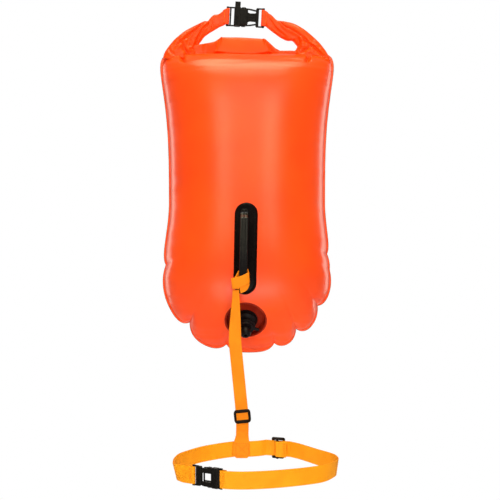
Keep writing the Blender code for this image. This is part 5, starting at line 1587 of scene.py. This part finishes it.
def rounded_rectangle(half_across, half_up, radius):
    """Points round a rectangle with round corners, each with its outward direction."""
    places = []
    for corner, (side, up) in enumerate(((1, 1), (-1, 1), (-1, -1), (1, -1))):
        for step in range(SLIDER_CORNER_STEPS + 1):
            angle = math.pi / 2 * (corner + step / SLIDER_CORNER_STEPS)
            out_across, out_up = math.cos(angle), math.sin(angle)
            across = side * (half_across - radius) + radius * out_across
            above = up * (half_up - radius) + radius * out_up
            places.append((across, above, out_across, out_up))
    return places


def slider_frame(name, turn, halves, corner, bar_width, side_shift, bar):
    """A slider: a frame with round corners, its sides moved back, and the bar that the web runs over."""
    half_across, half_up = halves
    rings = []
    for across, up, out_across, out_up in rounded_rectangle(
        half_across - SLIDER_SIDE_WIDTH / 2, half_up - bar_width / 2, corner
    ):
        half_bar = mixed(SLIDER_SIDE_WIDTH, bar_width, out_up**2) / 2
        shift = side_shift * out_across**2
        ring = []
        for angle in angles(SLIDER_SIDES):
            out = half_bar * signed_power(math.cos(angle), SLIDER_EDGE_POWER)
            forward = shift + (SLIDER_DEPTH - shift) / 2 * signed_power(math.sin(angle), SLIDER_EDGE_POWER)
            ring.append(turn @ Vector((across + out_across * out, forward, up + out_up * out)))
        rings.append(ring)
    outer = loft(name, [*rings, rings[0]], DARK_PLASTIC, capped=False)
    low, high = bar
    middle = box_piece(f"{name}_bar", low, high, DARK_PLASTIC, turn)
    round_edges(middle, (high[1] - low[1]) / 4)
    return joined(name, [outer, middle])


def make_sliders():
    slider_x, slider_z = LEASH_SLIDER_PLACE
    turn = frame_of((slider_x, LEASH_Y, slider_z), "Y", -LEASH_SLIDER_TILT_DEGREES)
    across, up = LEASH_WIDTH / 2 + LEASH_SLIDER_MARGIN, LEASH_SLIDER_LENGTH / 2
    depth, height = LEASH_BAR_HALVES
    bar = ((-across, -depth, -height), (across, depth, height))
    corner, width = LEASH_SLIDER_CORNER_RADIUS, LEASH_SLIDER_BAR_WIDTH
    slider = slider_frame("leash_slider_frame", turn, (across, up), corner, width, 0.0, bar)
    place_piece(slider, "leash_adjuster", "black_plastic", "leash_slider")

    turn = BELT_SLIDER_FRAME @ Matrix.Translation((0.0, 0.0, BELT_SLIDER_RISE))
    across, up = BELT_SLIDER_LENGTH / 2, BELT_WIDTH / 2 + BELT_SLIDER_MARGIN
    half, depth = BELT_BAR_HALVES
    bar_y = -WEB_THICKNESS - GAP - FOLD_RADIUS
    bar = ((-half, bar_y - depth, -up), (half, bar_y + depth, up))
    corner, width, shift = BELT_SLIDER_CORNER_RADIUS, BELT_SLIDER_MARGIN, BELT_SLIDER_SIDE_SHIFT
    slider = slider_frame("belt_slider_frame", turn, (across, up), corner, width, shift, bar)
    place_piece(slider, "belt_adjuster", "black_plastic", "belt_slider")


# Belt


def belt_points(points):
    return [Vector((x, y, BELT_Z)) for x, y in points]


def belt_web(name, path):
    """A web of the belt, whose lower edge draws in at both ends of the ring."""
    leans = []
    for point in path:
        left = smooth_step(-LEAN_START_X[0], -LEAN_FULL_X[0], -point.x)
        right = smooth_step(LEAN_START_X[1], LEAN_FULL_X[1], point.x)
        leans.append(Vector((LEFT_LEAN * left + RIGHT_LEAN * right, 0.0, 1.0)))
    return strip(name, path, leans, (-BELT_WIDTH / 2, BELT_WIDTH / 2), WEBBING)


def hook_path(bar_x):
    """The web's end round a belt buckle's end bar."""
    local = looped_end(bar_x, BELT_HOOK_TAIL, BELT_HOOK_NEAR, BELT_HOOK_RADIUS)
    return [BELT_FRAME @ point for point in local]


def hook_stitches(name, bar_x, body):
    y = BELT_HOOK_RADIUS + WEB_THICKNESS / 2
    rows = []
    for share in BELT_THREAD_SHARES:
        x = bar_x + math.copysign(BELT_HOOK_TAIL * share, bar_x)
        rows.append(upright_row(BELT_FRAME, x, y, -BELT_THREAD_HALF_HEIGHT, BELT_THREAD_HALF_HEIGHT))
    stitch_rows(name, rows, BELT_FRAME.to_3x3() @ Vector((0.0, 1.0, 0.0)), body)


def make_belt():
    bar_x = BELT_BUCKLE_HALF_LENGTH - BAR_WIDTH / 2
    plug_hook = hook_path(bar_x)
    socket_hook = hook_path(-bar_x)
    end_x = leash_x(BELT_Z)
    reaches = (-BELT_JOIN_HALF_LENGTH, -GAP / 2, GAP / 2, BELT_JOIN_HALF_LENGTH)
    joins = belt_points((end_x + reach, BELT_JOIN_Y) for reach in reaches)
    join_start, short_end, long_start, join_end = joins
    run_start = BELT_SLIDER_FRAME @ Vector((-BELT_SLIDER_RUN, 0.0, 0.0))
    run_end = BELT_SLIDER_FRAME @ Vector((BELT_SLIDER_RUN, 0.0, 0.0))
    short_path = plug_hook[:-1]
    short_path += smooth_path([plug_hook[-1], *belt_points(BELT_SHORT_ROUTE), join_start])
    short_path.append(short_end)
    short = belt_web("belt_webbing_short", short_path)
    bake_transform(short)
    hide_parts("belt_web_short")
    long_path = [long_start, *smooth_path([join_end, *belt_points([BELT_RISE]), run_start])]
    long_path += smooth_path([run_end, *belt_points(BELT_LONG_ROUTE), socket_hook[-1]])
    long_path += socket_hook[-2::-1]
    place_piece(belt_web("belt_webbing_long", long_path), "leash", "yellow_webbing", "belt_web_long")
    hook_stitches("belt_plug_thread", bar_x, "belt_buckle_plug")
    hook_stitches("belt_socket_thread", -bar_x, "leash")


def make_belt_fold():
    """The belt's end, folded round the slider's middle bar and sewn to itself."""
    middle_y = -WEB_THICKNESS - GAP - FOLD_RADIUS
    turn = hairpin((0.0, middle_y, 0.0), (-1, 0, 0), (0, -1, 0), FOLD_RADIUS)
    tails = [Vector((FOLD_TAIL, middle_y + side * FOLD_RADIUS, 0.0)) for side in (-1, 1)]
    path = [BELT_SLIDER_FRAME @ point for point in (tails[0], *turn, tails[1])]
    half = BELT_WIDTH / 2 - GAP
    fold = strip("belt_fold_webbing", path, (0, 0, 1), (-half, half), WEBBING)
    place_piece(fold, "belt_adjuster", "yellow_webbing", "belt_slider_fold")
    face = middle_y - FOLD_RADIUS - WEB_THICKNESS / 2
    reach = half - FOLD_THREAD_MARGIN
    rows = []
    for inset in FOLD_THREAD_INSETS:
        rows.append(upright_row(BELT_SLIDER_FRAME, FOLD_TAIL - inset, face, -reach, reach))
    stitch_rows("belt_fold_thread", rows, BELT_SLIDER_FRAME.to_3x3() @ Vector((0, -1, 0)), "belt_adjuster")


# Valves


def valve_frame(facing):
    """The valve's seat, as the part has it."""
    x, y, z = VALVE_PLACE
    normal_x, normal_y, normal_z = VALVE_NORMAL
    normal = Vector((normal_x, facing * normal_y, normal_z)).normalized()
    turn = normal.to_track_quat("Z", "Y").to_matrix().to_4x4()
    return Matrix.Translation((x, facing * y, z)) @ turn


def surface_height(turn, x, y, facing):
    """How far the chamber's skin stands above the valve's own plane at a place in it."""
    steepness = abs((turn.to_3x3() @ Vector((0, 0, 1))).y)
    height = 0.0
    for _ in range(SURFACE_TRIES):
        point = turn @ Vector((x, y, height))
        height += facing * (surface_y(point.x, point.z, facing) - point.y) * steepness
    return height


def well_ring(turn, radius, height_at):
    """A ring about the valve's axis, with its height above the valve's plane given at each place."""
    places = [(radius * math.cos(angle), radius * math.sin(angle)) for angle in angles(WELL_STEPS)]
    return [turn @ Vector((x, y, height_at(x, y))) for x, y in places]


def make_well(side, facing, skin):
    """The round opening in a chamber's skin, and the film that lines it, whose dark red colour is painted
    shade.
    """
    turn = valve_frame(facing)
    reaches = (-WELL_CUT_REACH, WELL_CUT_REACH)
    ends = [well_ring(turn, WELL_RADIUS, lambda x, y: height) for height in reaches]
    cut_from(skin, loft("cutter", ends, FABRIC))
    rings = []
    for out, rise, sink in WELL_PROFILE:

        def film_height(x, y):
            top = surface_height(turn, x, y, facing) + rise
            return mixed(top, -WELL_DEPTH + WELL_WALL, sink)

        rings.append(well_ring(turn, WELL_RADIUS + out, film_height))
    well = loft(f"{side}_well_film", rings, SHADED_WELL_FILM, capped=False)
    place_piece(well, "buoy", "well_film", f"{side}_valve_well")


# Surroundings


def make_camera():
    camera_data = bpy.data.cameras.new("camera")
    camera_data.lens = CAMERA_LENS
    camera_data.sensor_width = CAMERA_SENSOR
    camera_data.clip_end = CAMERA_REACH
    camera = bpy.data.objects.new("camera", camera_data)
    camera.location = CAMERA_PLACE
    camera.rotation_euler = (math.pi / 2, 0.0, 0.0)
    bpy.context.scene.collection.objects.link(camera)
    bpy.context.scene.camera = camera


def make_surround():
    half = FLOOR_SIZE / 2
    top = FLOOR_Z + FLOOR_SIZE
    floor_edges = ((-half, FLOOR_Z), (half, FLOOR_Z))
    backdrop_edges = ((BACKDROP_Y, FLOOR_Z), (BACKDROP_Y, top))
    for name, ((low_y, low_z), (high_y, high_z)) in (("floor", floor_edges), ("backdrop", backdrop_edges)):
        points = [(x, low_y, low_z) for x in (-half, half)]
        points += [(x, high_y, high_z) for x in (half, -half)]
        mesh_piece(name, points, [(0, 1, 2, 3)], SURROUND, smooth=False)


def make_world():
    """A soft warm world for the light, and plain white behind everything for the camera."""
    world = bpy.data.worlds.new("soft_studio")
    bpy.context.scene.world = world
    world.use_nodes = True
    tree = world.node_tree
    tree.nodes.clear()
    outputs = []
    for colour, strength in ((WORLD_COLOUR, WORLD_STRENGTH), (WHITE, 1.0)):
        background = tree.nodes.new("ShaderNodeBackground")
        background.inputs["Color"].default_value = (*colour, 1.0)
        background.inputs["Strength"].default_value = strength
        outputs.append(background.outputs["Background"])
    camera = tree.nodes.new("ShaderNodeLightPath").outputs["Is Camera Ray"]
    mix_shaders(tree, camera, *outputs, tree.nodes.new("ShaderNodeOutputWorld"))


def make_lights():
    for name, place, aim, (width, height), power, colour in LIGHTS:
        light_data = bpy.data.lights.new(name, "AREA")
        light_data.shape = "RECTANGLE"
        light_data.size = width
        light_data.size_y = height
        light_data.energy = power
        light_data.color = colour
        light = bpy.data.objects.new(name, light_data)
        light.location = place
        light.rotation_euler = (Vector(aim) - Vector(place)).to_track_quat("-Z", "Y").to_euler()
        bpy.context.scene.collection.objects.link(light)


def paint_cad_nodes():
    """Gives each carried-over CAD node its finished material."""
    prongs = [f"{buckle}_prong_{side}" for buckle in ("whistle", "belt") for side in ("upper", "lower")]
    halves = [f"{buckle}_{half}" for buckle in ("whistle", "belt") for half in ("socket", "plug")]
    parts = ("base", "flap", "lock_ring", "mouthpiece")
    valve_parts = [f"{side}_valve_{part}" for side in ("front", "rear") for part in parts]
    finishes = (
        (LINING, ("front_liner", "rear_liner")),
        (PLASTIC, ("whistle", *prongs, *halves)),
        (DARK_PLASTIC, ("leash_slider", "belt_slider")),
        (ROLLED, ("left_roll_arm", "right_roll_arm", "left_buckle_tab", "right_buckle_tab")),
        (RUBBER, ("leash_patch", "patch_strap")),
        (SHADED_LEASH_WEBBING, ("leash_hitch", "leash_web")),
        (WEBBING, ("belt_web_short", "belt_web_long", "belt_slider_fold")),
        (SHADED_WELL_FILM, ("front_valve_well", "rear_valve_well")),
        (VALVE, valve_parts),
    )
    for material, names in finishes:
        for name in names:
            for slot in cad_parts[name].material_slots:
                slot.material = material


def make_bag():
    for side, facing in (("front", FRONT), ("rear", REAR)):
        skin = make_skin(side, facing)
        make_well(side, facing, skin)
        place_piece(skin, "buoy", "orange_fabric", f"{side}_outer_panel")
        make_liner(side, facing)
    make_flange()
    make_roll()
    make_arms()
    make_tab("left_tab_fabric", -1, "buoy", "left_buckle_tab")
    make_tab("right_tab_fabric", 1, "whistle_buckle_plug", "right_buckle_tab")


def make_fittings():
    make_whistle_buckle()
    make_patch()
    make_strap()
    make_rivets()
    make_hitch()
    make_leash()
    make_sliders()
    make_belt()
    make_belt_fold()
    make_belt_buckle()


make_camera()
make_surround()
make_world()
make_lights()
paint_cad_nodes()
make_bag()
make_fittings()
bpy.context.scene.view_settings.view_transform = "Standard"
